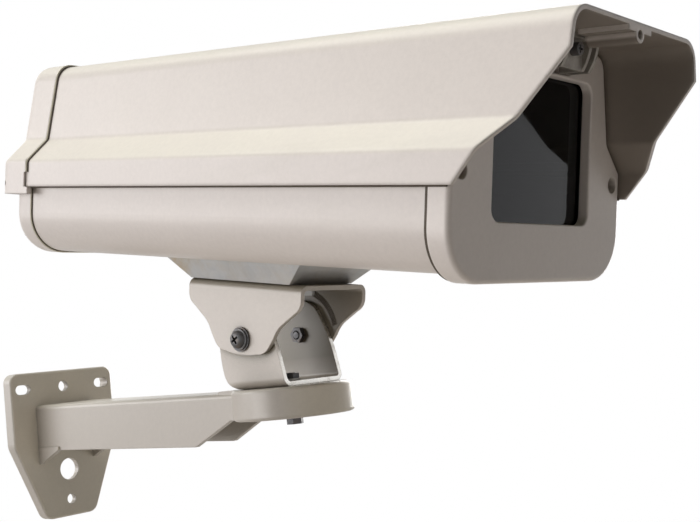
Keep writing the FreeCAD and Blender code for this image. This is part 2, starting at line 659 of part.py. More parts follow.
def make_tilt_yoke():
    body = body_named("tilt_yoke")
    flat = folded_channel(body, "yoke_half", "yoke_sheet", "yoke_rise", "-yoke_rise", -1)
    pad(body, flat, "3 * yoke_reach", both=True)
    right = [("yoke_reach", "yoke_rise"),
             ("yoke_reach", "yoke_shoulder + yoke_corner_up", "yoke_corner", -1),
             ("yoke_reach - yoke_flank_in", "yoke_shoulder - yoke_flank_drop"),
             ("yoke_reach - yoke_waist_in", "yoke_waist", "yoke_waist_curve", 1),
             ("yoke_reach - yoke_hip_in", "yoke_hip"),
             ("yoke_reach - yoke_hem_in", "-yoke_hem", "yoke_hem_curve", -1),
             ("yoke_base_half", "-yoke_lobe + yoke_base_up", "yoke_base_curve", -1)]
    left = [("-yoke_base_half", "-yoke_lobe + yoke_base_up", "yoke_hem_curve", -1),
            ("-yoke_reach + yoke_hem_in", "-yoke_hem"),
            ("-yoke_reach + yoke_hip_in", "yoke_hip", "yoke_waist_curve", 1),
            ("-yoke_reach + yoke_waist_in", "yoke_waist"),
            ("-yoke_reach + yoke_flank_in", "yoke_shoulder - yoke_flank_drop", "yoke_corner", -1),
            ("-yoke_reach", "yoke_shoulder + yoke_corner_up"), ("-yoke_reach", "yoke_rise")]
    trim_sides(body, right + left, "2 * yoke_reach")
    flat = sketch_on(body, "XZ_Plane")
    circle(flat, "0", "0", "pivot_screw / 2 + bolt_play")
    pocket(body, flat, None, both=True)
    flat = sketch_on(body, "XY_Plane")
    for side in ("-", ""):
        circle(flat, f"{side}adapter_bolt_spread / 2 - adapter_shift", "0", "adapter_bolt / 2 + bolt_play")
    pocket(body, flat, None, both=True)
    name_node("tilt_yoke", body, "pivot")


def pivot_fastener(side):
    """Screw, washer and nut of one ear; side is -1 near, 1 far"""
    out = "y" if side > 0 else "-y"
    sign = "" if side > 0 else "-"
    skin = "(yoke_half + pivot_washer_thick)"
    screw_end = "(swivel_half - swivel_sheet - pivot_nut_thick - pivot_screw_end)"
    head = rod("pivot_head", "pivot_head_thick", ("0", f"{sign}{skin}", "0"), out)
    dome = doc.addObject("Part::Fillet", "PanHead")
    doc.recompute()
    dome.Base = head
    far = abs(value(skin)) + value("pivot_head_thick")
    names = edges_where(head.Shape, lambda p: abs(abs(p.y) - far) < 0.01)
    bend = value("pivot_head_round")
    dome.Edges = [(int(n[4:]), bend, bend) for n in names]
    shank = rod("pivot_screw / 2", f"{skin} - {screw_end}", ("0", f"{sign}{screw_end}", "0"), out)
    tip = ("0", f"{sign}({skin} + pivot_head_thick)", "0")
    screw = cut(fuse(dome, shank), cross_cut("pivot_head", "pivot_cut", tip, out))
    ring = rod("pivot_washer", "pivot_washer_thick", ("0", f"{sign}yoke_half", "0"), out)
    hole = rod("pivot_screw / 2 + bolt_play", "3 * pivot_washer_thick",
               ("0", f"{sign}(yoke_half - pivot_washer_thick)", "0"), out)
    seat = "(swivel_half - swivel_sheet - pivot_nut_thick - pivot_nut_play)"
    nut = prism("pivot_nut", "pivot_nut_thick", ("0", f"{sign}{seat}", "0"), out)
    bore = rod("pivot_screw / 2", "3 * pivot_nut_thick", ("0", f"{sign}({seat} - 2)", "0"), out)
    return screw, cut(ring, hole), cut(nut, bore)


def make_pivot_fasteners():
    near, far = pivot_fastener(-1), pivot_fastener(1)
    for label, one, other in zip(("pivot_screws", "pivot_washers", "pivot_nuts"), near, far):
        name_node(label, group(one, other), "pivot")


def flared(body, plane_at, shrink, sheet_in):
    """Rectangle of the tray, shrink 0 at the yoke and 1 at the housing"""
    flat = sketch_on(body, "XY_Plane", plane_at)
    back = f"-adapter_back - {shrink} * adapter_tail + ({sheet_in})"
    front = f"adapter_front + {shrink} * adapter_tail - ({sheet_in})"
    half = f"adapter_half + {shrink} * adapter_flare - ({sheet_in})"
    return box_outline(flat, back, f"-({half})", front, half)


def make_adapter_plate():
    """Folded tray with flared walls between yoke and housing"""
    body = body_named("adapter_plate")
    top = "yoke_rise + adapter_rise"
    shell = body.newObject("PartDesign::AdditiveLoft", "Tray")
    shell.Profile = flared(body, "yoke_rise", 0, "0")
    shell.Sections = [flared(body, top, 1, "0")]
    shell.Ruled = True
    doc.recompute()
    hollow = body.newObject("PartDesign::SubtractiveLoft", "Hollow")
    wall = "adapter_lean * adapter_sheet"
    hollow.Profile = flared(body, "yoke_rise + adapter_sheet", "adapter_inset", wall)
    hollow.Sections = [flared(body, top, 1, wall)]
    hollow.Ruled = True
    doc.recompute()
    flat = sketch_on(body, "XY_Plane")
    for side in ("-", ""):
        circle(flat, f"{side}adapter_bolt_spread / 2 - adapter_shift", "0", "adapter_bolt / 2 + bolt_play")
    pocket(body, flat, None, both=True)
    name_node("adapter_plate", body, "pivot")


def make_adapter_bolts():
    """Hex bolts up through yoke, tray and the floor of the lower body, with nuts inside"""
    bolts, nuts = [], []
    for side in ("-", ""):
        x = f"({side}adapter_bolt_spread / 2 - adapter_shift)"
        under = "yoke_rise - yoke_sheet"
        top = "yoke_rise + adapter_rise + body_wall"
        head = prism("adapter_hex", "adapter_hex_thick", (x, "0", f"{under} - adapter_hex_thick"), "z")
        shank = rod("adapter_bolt / 2", f"{top} + adapter_nut_thick + adapter_bolt_end - ({under})",
                    (x, "0", under), "z")
        bolts.append(fuse(head, shank))
        nut = prism("adapter_hex", "adapter_nut_thick", (x, "0", top), "z")
        bore = rod("adapter_bolt / 2", "3 * adapter_nut_thick", (x, "0", f"{top} - 2"), "z")
        nuts.append(cut(nut, bore))
    name_node("adapter_bolts", group(*bolts), "pivot")
    name_node("adapter_nuts", group(*nuts), "pivot")


# Lower body and front bezel, in the housing's frame

BODY_FRONT = "-(bezel_depth + joint_seal)"
BODY_LENGTH = "(body_back - bezel_depth - joint_seal)"
TOP_PORT = ("body_half - port_in", "port_up")
LOW_PORT = (f"body_half - body_round + 0.7071 * (body_round - body_wall - port_radius + port_sink)",
            f"-body_depth + body_round - 0.7071 * (body_round - body_wall - port_radius + port_sink)")
FLOOR = "(body_wall - body_depth)"
SEAL_LANDING = "(body_rim + seal_rise + fit_gap)"
GLANDS = ("-gland_spread", "0", "gland_spread")


def make_lower_body():
    """Extruded trough with screw ports and the grooved rails of the camera sled"""
    body = body_named("lower_body")
    pad(body, folded_channel(body, "body_half", "body_wall", "-body_depth", "body_rim", 1,
                             "body_round", "-body_back"), BODY_LENGTH)
    ports = sketch_on(body, "YZ_Plane", "-body_back")
    bores = sketch_on(body, "YZ_Plane", "-body_back")
    for u, v in both_sides(TOP_PORT, LOW_PORT):
        circle(ports, u, v, "port_radius")
        circle(bores, u, v, "port_bore")
    pad(body, ports, BODY_LENGTH)
    pocket(body, bores, BODY_LENGTH, back=True)
    rails = sketch_on(body, "YZ_Plane", "-body_back")
    low, high = f"{FLOOR} + groove_up", f"{FLOOR} + groove_up + groove_height"
    for sign in ("", "-"):
        wall, lip = f"{sign}rail_half", f"{sign}(rail_half - rail_lip)"
        back = f"{sign}(rail_half + rail_wall)"
        outline(rails, [(wall, f"{FLOOR} - body_wall / 2"), (back, f"{FLOOR} - body_wall / 2"),
                        (back, f"{high} + lip_thick"), (lip, f"{high} + lip_thick"), (lip, high),
                        (wall, high), (wall, low), (lip, low), (lip, f"{low} - lip_thick"),
                        (wall, f"{low} - lip_thick")])
    pad(body, rails, BODY_LENGTH)
    holes = sketch_on(body, "XY_Plane", "-body_depth")
    for side in ("-", ""):
        circle(holes, f"-pivot_behind {side or '+'} adapter_bolt_spread / 2 - adapter_shift", "0",
               "adapter_bolt / 2 + bolt_play")
    pocket(body, holes, "2 * body_wall", back=True)
    name_node("lower_body", body, "housing")


def retainer_spots():
    """Screw places of the glass retainer, above and below the window"""
    return both_sides(("boss_half", "window_high + boss_off"),
                      ("boss_half", "-window_low - boss_off - boss_drop"))


def make_front_bezel():
    """Casting with the window, hollow behind its face"""
    body = body_named("front_bezel")
    pad(body, rounded(sketch_on(body, "YZ_Plane", "-bezel_depth"), bezel_corners("0")), "bezel_depth")
    doc.recompute()
    fillet(body, edges_where(body.Tip.Shape, lambda p: p.x > -0.01), "bezel_edge")
    hollow = rounded(sketch_on(body, "YZ_Plane", "-bezel_depth"), bezel_corners("-bezel_wall"))
    pocket(body, hollow, "bezel_depth - bezel_plate", back=True)
    # bosses behind the face: two for the face screws, four for the glass retainer
    bosses = sketch_on(body, "YZ_Plane", "-bezel_depth")
    for u, v in both_sides(TOP_PORT):
        circle(bosses, u, v, "port_in - seal_trim")
    pad(body, bosses, "bezel_depth - bezel_plate / 2")
    bosses = sketch_on(body, "YZ_Plane", "-bezel_plate - window_seal - glass_thick")
    for u, v in retainer_spots():
        circle(bosses, u, v, "boss_radius")
    pad(body, bosses, "window_seal + glass_thick + bezel_plate / 2")
    flat = sketch_on(body, "YZ_Plane", "-bezel_depth")
    rounded_box(flat, "window_half", "-window_low", "window_high", "window_round")
    pocket(body, flat, "2 * bezel_depth", back=True)
    fillet(body, edges_where(body.Tip.Shape, lambda p: p.x > -0.01 and abs(
        p.y) < value("window_half") + 0.1 and -value("window_low") - 0.1 < p.z < value(
        "window_high") + 0.1), "window_edge")
    # deep holes for the face screws
    flat = sketch_on(body, "YZ_Plane")
    for u, v in both_sides(TOP_PORT):
        circle(flat, u, v, "face_hole")
    pocket(body, flat, "face_hole_depth")
    flat = sketch_on(body, "YZ_Plane")
    for u, v in both_sides(TOP_PORT):
        circle(flat, u, v, "screw / 2 + bolt_play")
    pocket(body, flat, "2 * bezel_depth")
    flat = sketch_on(body, "YZ_Plane", "-bezel_depth")
    for u, v in retainer_spots():
        circle(flat, u, v, "small_screw / 2")
    pocket(body, flat, "bezel_depth - bezel_plate / 2", back=True)
    # recess for the catch, with the notch that its screw drops into
    flat = sketch_on(body, "YZ_Plane")
    rounded_box(flat, "recess_half", "recess_low", "crown_top + 5", "recess_round")
    pocket(body, flat, "recess_depth")
    flat = sketch_on(body, "YZ_Plane", "-bezel_depth")
    half = "(catch_screw / 2 + notch_play)"
    box_outline(flat, f"-{half}", "catch_screw_up - catch_screw / 2 - notch_drop", half, "crown_top + 5")
    pocket(body, flat, "2 * bezel_depth", back=True)
    flat = sketch_on(body, "YZ_Plane", "-bezel_depth")
    half = "(catch_nut / 2 + notch_room)"
    box_outline(flat, f"-{half}", "catch_screw_up - catch_nut / 2 - notch_drop", half, "crown_top + 5")
    pocket(body, flat, "bezel_depth - bezel_plate", back=True)
    name_node("front_bezel", body, "housing")


def plate_piece(label, at, thick, draw_outer, draw_inner=None):
    """Flat piece that stands across the housing: sheet, ring or pane"""
    body = body_named(label)
    flat = sketch_on(body, "YZ_Plane", at)
    draw_outer(flat)
    if draw_inner:
        draw_inner(flat)
    pad(body, flat, thick)
    name_node(label, body, "housing")
    return body


def make_window():
    """Gasket, pane and retainer frame behind the bezel's face, with their screws"""
    pane = ("window_half + glass_margin", "-window_low - glass_margin",
            "window_high + glass_margin", "pane_round")
    seal_at = "-bezel_plate - window_seal"
    glass_at = f"{seal_at} - glass_thick"
    frame_at = f"{glass_at} - retainer_thick"
    plate_piece("window_gasket", seal_at, "window_seal", lambda f: rounded_box(f, *pane),
                lambda f: rounded_box(f, "window_half + 1", "-window_low - 1", "window_high + 1",
                                      "window_round"))
    plate_piece("window_glass", glass_at, "glass_thick", lambda f: rounded_box(f, *pane))
    body = plate_piece("glass_retainer", frame_at, "retainer_thick", lambda f: rounded_box(
        f, "window_half + glass_margin", "-window_low - glass_margin - retainer_foot",
        "window_high + boss_off + boss_radius - boss_drop", "retainer_round"),
        lambda f: rounded_box(f, "window_half + retainer_play", "-window_low - retainer_play",
                              "window_high + retainer_play", "retainer_hole_round"))
    slot_top = sketch_on(body, "YZ_Plane", frame_at)
    rounded_box(slot_top, "boss_half - retainer_slot", "window_high + glass_margin + 0.5", "crown_top",
                "pane_round")
    pocket(body, slot_top, "2 * retainer_thick", back=True)
    holes = sketch_on(body, "YZ_Plane", frame_at)
    screws = []
    for u, v in retainer_spots():
        circle(holes, u, v, "small_screw / 2 + bolt_play")
        head = rod("small_head", "small_head_thick", (frame_at, u, v), "-x")
        shank = rod("small_screw / 2 - thread_play", "window_seal + glass_thick + bezel_plate / 2 - 1",
                    (f"{frame_at} - 0.5", u, v), "x")
        screw = fuse(head, shank)
        tip = (f"{frame_at} - small_head_thick", u, v)
        screws.append(cut(screw, cross_cut("small_head", "recess_cut", tip, "-x")))
    pocket(body, holes, "2 * retainer_thick", back=True)
    name_node("retainer_screws", group(*screws), "housing")


def make_front_gasket():
    plate_piece("front_gasket", BODY_FRONT, "joint_seal",
                lambda f: rounded(f, bezel_corners("-front_seal_in")),
                lambda f: rounded(f, bezel_corners("-front_seal_band")))


def make_bezel_screws():
    """Long screws through the face into the upper ports of the body"""
    screws = []
    for u, v in both_sides(TOP_PORT):
        seat = "-face_hole_depth"
        head = rod("screw_head", "small_head_thick", (seat, u, v), "x")
        shank = rod("screw / 2 - thread_play", "bezel_screw_length", (f"{seat} + 0.5", u, v), "-x")
        slotted = cross_cut("screw_head", "recess_cut", (f"{seat} + small_head_thick", u, v), "x")
        screws.append(cut(fuse(head, shank), slotted))
    name_node("bezel_screws", group(*screws), "housing")


# Rear caps, hinge pins, seal and glands

def make_rear_cap_lower():
    """Casting that closes the rear of the lower body and carries the glands"""
    body = body_named("rear_cap_lower")
    lip_front = "(body_back - low_lip_reach)"
    flat = sketch_on(body, "YZ_Plane", "-low_cap_back")
    pad(body, rounded(flat, trough_corners("low_lip_over", "body_rim")), f"low_cap_back - {lip_front}")
    doc.recompute()
    back, rim = -value("low_cap_back"), value("body_rim")
    names = edges_where(body.Tip.Shape, lambda p: p.x < back + 0.01)
    fillet(body, [n for n in names if body.Tip.Shape.getElement(n).CenterOfMass.z < rim - 0.1],
           "low_cap_round")
    lip = rounded(sketch_on(body, "YZ_Plane", "-body_back - joint_seal"),
                  trough_corners("lip_play", "body_rim + 5"))
    pocket(body, lip, "joint_seal + 2 * low_lip_reach", back=True)
    room = rounded(sketch_on(body, "YZ_Plane", "-low_cap_back + cap_wall"),
                   trough_corners("-body_wall", "body_rim + 5"))
    pocket(body, room, "low_cap_back - cap_wall - body_back", back=True)
    # middle knuckles of the two hinges
    for side in ("-", ""):
        flat = sketch_on(body, "XZ_Plane", f"{side}hinge_half")
        knuckle_outline(flat, "hinge_out + cap_wall / 2", 1)
        pad(body, flat, "knuckle_length", both=True)
    pin_holes(body)
    flat = sketch_on(body, "YZ_Plane", "-low_cap_back")
    for u, v in both_sides(TOP_PORT, LOW_PORT):
        circle(flat, u, v, "screw / 2 + bolt_play")
    for u in GLANDS:
        circle(flat, u, "-gland_drop", "gland_radius + bolt_play")
    pocket(body, flat, "2 * cap_wall", back=True)
    name_node("rear_cap_lower", body, "housing")


def knuckle_outline(flat, web, way):
    """Round eye on the hinge axis with a web to the wall in front of it (1) or behind it (-1)"""
    top, foot = "hinge_up + knuckle", "hinge_up - knuckle"
    first, last = (top, foot) if way > 0 else (foot, top)
    root = f"-{HINGE_BACK} + {way} * ({web})"
    outline(flat, [(f"-{HINGE_BACK}", first, "knuckle", 1),
                   (f"-{HINGE_BACK} - {way} * knuckle", "hinge_up", "knuckle", 1),
                   (f"-{HINGE_BACK}", last), (root, last), (root, first)])


def pin_holes(body):
    flat = sketch_on(body, "XZ_Plane")
    circle(flat, f"-{HINGE_BACK}", "hinge_up", "hinge_pin + hinge_play / 2")
    pocket(body, flat, "4 * hinge_half", both=True)


def cap_block(label, front):
    """Outside of the upper rear cap as a solid block, its rear edges rounded"""
    body = body_named(label)
    flat = sketch_on(body, "YZ_Plane", f"-{CAP_BACK}")
    pad(body, rounded(flat, full_bell("lip_over", "-cap_foot", "fold_round", "crown_round + lip_over")),
        f"{CAP_BACK} - {front}")
    doc.recompute()
    back, foot = -value(CAP_BACK), -value("cap_foot")
    names = edges_where(body.Tip.Shape, lambda p: p.x < back + 0.01)
    fillet(body, [n for n in names if body.Tip.Shape.getElement(n).CenterOfMass.z > foot + 0.1],
           "cap_round")
    return body


def make_rear_cap_upper():
    """Casting that closes the rear of the cover and overlaps it with a lip"""
    body = cap_block("rear_cap_upper", "lip_front")
    lip = full_bell("lip_play", "-cap_foot - 2")
    pocket(body, rounded(sketch_on(body, "YZ_Plane", f"-{COVER_BACK}"), lip), COVER_BACK, back=True)
    # hollow in two steps, so that the wall stays thick behind the rounded rear edge
    for start, inset in (("cap_wall + cap_round / 2", "0"), ("cap_wall", "cap_round / 2")):
        room = full_bell(f"lip_over - cap_wall - {inset}", "-cap_foot - 2", "bezel_fold",
                         f"crown_round - cap_wall - {inset}")
        pocket(body, rounded(sketch_on(body, "YZ_Plane", f"-{CAP_BACK} + {start}"), room),
               f"{CAP_BACK} - {COVER_BACK}", back=True)
    # room for the foot of the rear wall, which swings past the lower cap
    for side_in, start, top in (("cap_wall", "cap_wall + swing_room", "hinge_up + cap_wall"),
                                ("relief_in", "cap_wall - swing_room", "-swing_room")):
        flat = sketch_on(body, "YZ_Plane", f"-{CAP_BACK} + {start}")
        box_outline(flat, f"{side_in} - {COVER_HALF}", "-cap_foot - 2", f"{COVER_HALF} - {side_in}", top)
        pocket(body, flat, "cap_round", back=True)
    # shelf that lands on the rear run of the lid seal
    shelf = sketch_on(body, "YZ_Plane", f"-{CAP_BACK} + cap_wall / 2")
    box_outline(shelf, f"-{COVER_HALF} + 1", SEAL_LANDING, f"{COVER_HALF} - 1",
                f"{SEAL_LANDING} + shelf_thick")
    pad(body, shelf, "cap_overhang + cap_wall / 2")
    # tabs under the rear corners of the skirt, and the step in the lip above them
    for side in ("-", ""):
        flat = sketch_on(body, "YZ_Plane", "-lip_front - 1")
        box_outline(flat, f"{side}({COVER_HALF} + lip_over)", "-cap_foot",
                    f"{side}({COVER_HALF} + lip_over - tab_thick)", "-fit_gap")
        pad(body, flat, "tab_reach + 1")
    flat = sketch_on(body, "XZ_Plane")
    box_outline(flat, "-lip_front - notch_depth", "0", "-lip_front + notch_depth", "notch_rise")
    pocket(body, flat, f"4 * {COVER_HALF}", both=True)
    # sunk bosses of the three long screws that hold the cover
    bosses = sketch_on(body, "YZ_Plane", f"-{CAP_BACK} + cap_wall")
    seats = sketch_on(body, "YZ_Plane", f"-{CAP_BACK}")
    holes = sketch_on(body, "YZ_Plane", f"-{CAP_BACK}")
    for u, v in cover_ports():
        circle(bosses, u, v, "sunk_radius + boss_wall")
        circle(seats, u, v, "sunk_radius")
        circle(holes, u, v, "screw / 2 + bolt_play")
    pad(body, bosses, f"{CAP_BACK} - cap_wall - {COVER_BACK}")
    pocket(body, seats, "sunk_depth", back=True)
    pocket(body, holes, CAP_BACK, back=True)
    for side in ("-", ""):
        for out in ("-", "+"):
            middle = f"{side}hinge_half {out} (knuckle_length / 2 + side_knuckle / 2 + fit_gap)"
            flat = sketch_on(body, "XZ_Plane", middle)
            knuckle_outline(flat, "cap_overhang - hinge_out - cap_wall / 2", -1)
            pad(body, flat, "side_knuckle", both=True)
    pin_holes(body)
    # the screw bosses end at the rounded rear edge
    outside = cap_block("cap_outside", "(lip_front - tab_reach - 1)")
    name_node("rear_cap_upper", overlap(body, outside), "housing")


def cover_ports():
    """Screw ports of the cover: under its crown and inside its two shoulders"""
    up = (f"skirt_rise + side_port_in / tan({LEAN_LOW})"
          f" - (cover_wall + 0.7 * cover_port) / sin({LEAN_LOW})")
    return [("0", "cover_port_up")] + both_sides((f"{COVER_HALF} - side_port_in", up))


def rear_screws(spots, seat, port):
    """Cross headed screws seen from behind, with their seat and the start of their port"""
    screws = []
    for u, v in spots:
        head = rod("screw_head", "small_head_thick", (f"-({seat})", u, v), "-x")
        shank = rod("screw / 2 - thread_play", f"{seat} - {port} + screw_grip", (f"-({seat})", u, v), "x")
        recess = cross_cut("screw_head", "recess_cut", (f"-({seat}) - small_head_thick", u, v), "-x")
        screws.append(cut(fuse(head, shank), recess))
    return group(*screws)


def make_rear_screws():
    name_node("cover_screws", rear_screws(cover_ports(), f"{CAP_BACK} - sunk_depth", COVER_BACK),
              "housing")
    name_node("cap_screws", rear_screws(both_sides(TOP_PORT, LOW_PORT), "low_cap_back", "body_back"),
              "housing")


def make_rear_gasket():
    """U shaped sheet between the body's rear and its cap"""
    half, foot, radius = "(body_half - seal_trim)", "-body_depth + seal_trim", "body_round - seal_trim"
    inner, floor, bend = "(body_half - body_wall)", "body_wall - body_depth", "body_round - body_wall"
    top = "body_rim - seal_trim"
    plate_piece("rear_gasket", "-body_back - joint_seal", "joint_seal", lambda f: rounded(f, [
        (f"-{half}", top), (f"-{half}", foot, radius), (half, foot, radius), (half, top),
        (inner, top), (inner, floor, bend), (f"-{inner}", floor, bend), (f"-{inner}", top)]))


def make_hinge_pins():
    pins = []
    reach = "(knuckle_length / 2 + side_knuckle + fit_gap)"
    for side in ("-", ""):
        start = (f"-{HINGE_BACK}", f"{side}hinge_half - {reach}", "hinge_up")
        pins.append(rod("hinge_pin", f"2 * {reach}", start, "y"))
    name_node("hinge_pins", group(*pins), "housing")


def make_lid_seal():
    """Rubber strip along both sides of the body and across the rear"""
    body = body_named("lid_seal")
    half = "(body_half - seal_inset)"
    inner = f"({half} - seal_width)"
    rear = "-(low_cap_back - seal_inset)"
    strip = outline(sketch_on(body, "XY_Plane", "body_rim"), [
        (BODY_FRONT, f"-{half}"), (BODY_FRONT, f"-{inner}"), (f"{rear} + cap_wall", f"-{inner}"),
        (f"{rear} + cap_wall", inner), (BODY_FRONT, inner), (BODY_FRONT, half), (rear, half),
        (rear, f"-{half}")])
    pad(body, strip, "seal_rise")
    name_node("lid_seal", body, "housing")


def make_glands():
    """Three cable glands with locknuts inside and blind plugs"""
    bodies, nuts, plugs, locknuts = [], [], [], []
    wall, z = "-low_cap_back", "-gland_drop"
    seat = f"{wall} - gland_hex_thick"
    collet = "(gland_radius - gland_step)"
    for y in GLANDS:
        flange = prism("gland_hex", "gland_hex_thick", (wall, y, z), "-x")
        thread = rod("gland_radius", "gland_hex_thick + cap_wall + locknut_thick + gland_end",
                     (seat, y, z), "x")
        neck = rod(collet, "gland_nut_length - gland_nut_end", (seat, y, z), "-x")
        bore = rod("plug_radius", "8 * gland_hex_thick", (f"{seat} + 4 * gland_hex_thick", y, z), "-x")
        bodies.append(cut(fuse(flange, thread, neck), bore))
        base = prism("gland_nut", "gland_nut_length / 2", (seat, y, z), "-x")
        dome = doc.addObject("Part::Cone", "Dome")
        tie(dome, "Radius1", "gland_nut / 2")
        tie(dome, "Radius2", "gland_nut / 2 - gland_taper")
        tie(dome, "Height", "gland_nut_length / 2")
        stand(dome, (f"{seat} - gland_nut_length / 2", y, z), "-x")
        room = rod(collet, "gland_nut_length - gland_nut_end + fit_gap", (seat, y, z), "-x")
        mouth = rod("plug_radius", "2 * gland_nut_length", (seat, y, z), "-x")
        nuts.append(cut(fuse(base, dome), room, mouth))
        plugs.append(rod("plug_radius", "gland_hex_thick + gland_nut_length - gland_end",
                         (wall, y, z), "-x"))
        nut = prism("locknut", "locknut_thick", (f"{wall} + cap_wall", y, z), "x")
        hole = rod("gland_radius", "3 * locknut_thick", (f"{wall} + cap_wall - 1", y, z), "x")
        locknuts.append(cut(nut, hole))
    for label, pieces in (("gland_bodies", bodies), ("gland_nuts", nuts), ("gland_plugs", plugs),
                          ("gland_locknuts", locknuts)):
        name_node(label, group(*pieces), "housing")


# Lid

def make_upper_cover():
    """One extrusion with a bell section: lid, sunshield and slanted visor"""
    body = body_named("upper_cover")
    length = f"({COVER_BACK} + visor_reach)"
    pad(body, rounded(sketch_on(body, "YZ_Plane", f"-{COVER_BACK}"), full_bell("0", "0")), length)
    inner = full_bell("-cover_wall", "-5", "fold_round", "crown_round - cover_wall")
    pocket(body, rounded(sketch_on(body, "YZ_Plane", f"-{COVER_BACK}"), inner), length, back=True)
    # strip and screw port under the crown, milled away above the bezel
    flat = sketch_on(body, "YZ_Plane", f"-{COVER_BACK}")
    box_outline(flat, "-strip_half", "crown_top - cover_wall - strip_thick", "strip_half",
                "crown_top - cover_wall / 2")
    pad(body, flat, length)
    flat = sketch_on(body, "YZ_Plane", f"-{COVER_BACK}")
    circle(flat, "0", "cover_port_up", "cover_port")
    pad(body, flat, length)
    flat = sketch_on(body, "XZ_Plane")
    box_outline(flat, "-mill_back", "crown_top / 2", "mill_front", "crown_top - cover_wall")
    pocket(body, flat, "2 * strip_half + 2", both=True)
    # ribs that press on the lid seal, and the two side ports, all behind the bezel
    ribs = sketch_on(body, "YZ_Plane", f"-{COVER_BACK}")
    middle = "body_half - seal_inset - seal_width / 2"
    for sign in ("", "-"):
        near, far = f"{middle} - rib_width / 2", f"{middle} + rib_width / 2"
        outline(ribs, [(f"{sign}({near})", SEAL_LANDING), (f"{sign}({far})", SEAL_LANDING),
                       (f"{sign}({far})", in_shoulder(far)), (f"{sign}({near})", in_shoulder(near))])
    pad(body, ribs, f"{COVER_BACK} - bezel_depth - rib_stop")
    ports = sketch_on(body, "YZ_Plane", f"-{COVER_BACK}")
    bores = sketch_on(body, "YZ_Plane", f"-{COVER_BACK}")
    for u, v in cover_ports():
        if u != "0":
            circle(ports, u, v, "cover_port")
        circle(bores, u, v, "port_bore")
    pad(body, ports, f"{COVER_BACK} - bezel_depth - rib_stop")
    pocket(body, bores, f"{length} + 1", back=True)
    # slanted cut of the visor
    flat = sketch_on(body, "XZ_Plane")
    outline(flat, [("visor_foot", "0"), ("visor_reach", "visor_break"),
                   ("visor_reach + 5", "visor_break"), ("visor_reach + 5", "-5"),
                   ("visor_foot", "-5")])
    pocket(body, flat, None, both=True)
    name_node("upper_cover", body, "housing")


def in_shoulder(half):
    """Height of the middle of the sloping shoulder wall at a half width"""
    return (f"skirt_rise + ({COVER_HALF} - ({half})) / tan({LEAN_LOW})"
            f" - cover_wall / 2 / sin({LEAN_LOW})")


def make_lid_catch():
    """Finned bracket under the visor whose screw drops into the bezel's notch"""
    body = body_named("lid_catch")
    top = "crown_top - cover_wall"
    flat = sketch_on(body, "XZ_Plane")
    outline(flat, [("catch_back", top), ("catch_back", "catch_low"),
                   ("catch_reach - catch_slope", "catch_low", "catch_curve", 1),
                   ("catch_reach", f"{top} - catch_flange"), ("catch_reach", top)])
    pad(body, flat, "2 * fin_outer", both=True)
    roof = f"{top} - catch_flange"
    flat = sketch_on(body, "YZ_Plane")
    for sign in ("", "-"):
        box_outline(flat, f"{sign}fin_inner", "catch_low - 1", f"{sign}(fin_outer - fin_thick)", roof)
    pocket(body, flat, "2 * catch_reach + 2", both=True)
    bay = "(fin_inner - fin_thick)"
    flat = sketch_on(body, "YZ_Plane", "web_front")
    box_outline(flat, f"-{bay}", "catch_low - 1", bay, roof)
    pocket(body, flat, "catch_reach", back=True)
    flat = sketch_on(body, "YZ_Plane", "web_front - web_thick")
    box_outline(flat, f"-{bay}", "catch_low - 1", bay, roof)
    pocket(body, flat, "catch_reach")
    flat = sketch_on(body, "YZ_Plane")
    circle(flat, "0", "catch_screw_up", "catch_screw / 2 + bolt_play")
    pocket(body, flat, "3 * catch_reach", both=True)
    name_node("lid_catch", body, "housing")
    # captive screw and square nut
    z = "catch_screw_up"
    head = rod("catch_head", "catch_head_thick", ("web_front", "0", z), "x")
    nut_front = "(-bezel_plate - fit_gap)"
    tail = f"(-{nut_front} + catch_nut_thick + catch_screw_end)"
    shank = rod("catch_screw / 2", f"web_front + {tail}", (f"-{tail}", "0", z), "x")
    name_node("catch_screw", cut(fuse(head, shank), cross_cut(
        "catch_head", "catch_cut", ("web_front + catch_head_thick", "0", z), "x")), "housing")
    nut = block(("catch_nut_thick", "catch_nut", "catch_nut"),
                (f"{nut_front} - catch_nut_thick", "-catch_nut / 2", f"{z} - catch_nut / 2"))
    bore = rod("catch_screw / 2 + thread_play", "3 * catch_nut_thick", (f"{nut_front} + 1", "0", z), "-x")
    name_node("catch_nut", cut(nut, bore), "housing")


# Camera sled

def make_camera_sled():
    body = body_named("camera_sled")
    half = "(rail_half - fit_gap)"
    under = f"{FLOOR} + groove_up + (groove_height - sled_thick) / 2"
    back, front = "-(sled_front + sled_length)", "-sled_front"
    flat = sketch_on(body, "XY_Plane", under)
    box_outline(flat, back, f"-{half}", front, half)
    slot(flat, "-sled_front - sled_length / 2", "0", "sled_slot", "sled_slot_width")
    pad(body, flat, "sled_thick")
    flat = sketch_on(body, "XY_Plane", under)
    places = [(f"{front} - sled_screw_in", "sled_screw_off"),
              (f"{back} + sled_screw_in", "-sled_screw_off")]
    screws = []
    for u, v in places:
        circle(flat, u, v, "sled_screw / 2 + thread_play")
        shank = rod("sled_screw / 2", f"{under} + sled_thick - {FLOOR} - fit_gap",
                    (u, v, f"{FLOOR} + fit_gap"), "z")
        knob = rod("sled_knob", "sled_knob_height", (u, v, f"{under} + sled_thick"), "z")
        screws.append(fuse(shank, knob))
    pocket(body, flat, "2 * sled_thick", back=True)
    name_node("camera_sled", body, "housing")
    name_node("sled_screws", group(*screws), "housing")
    x = "-camera_screw_back"
    head = rod("camera_screw_head", "camera_screw_head_thick",
               (x, "0", f"{under} - camera_screw_head_thick"), "z")
    shank = rod("camera_screw / 2", "camera_screw_length", (x, "0", f"{under}"), "z")
    name_node("camera_screw", fuse(head, shank), "housing")


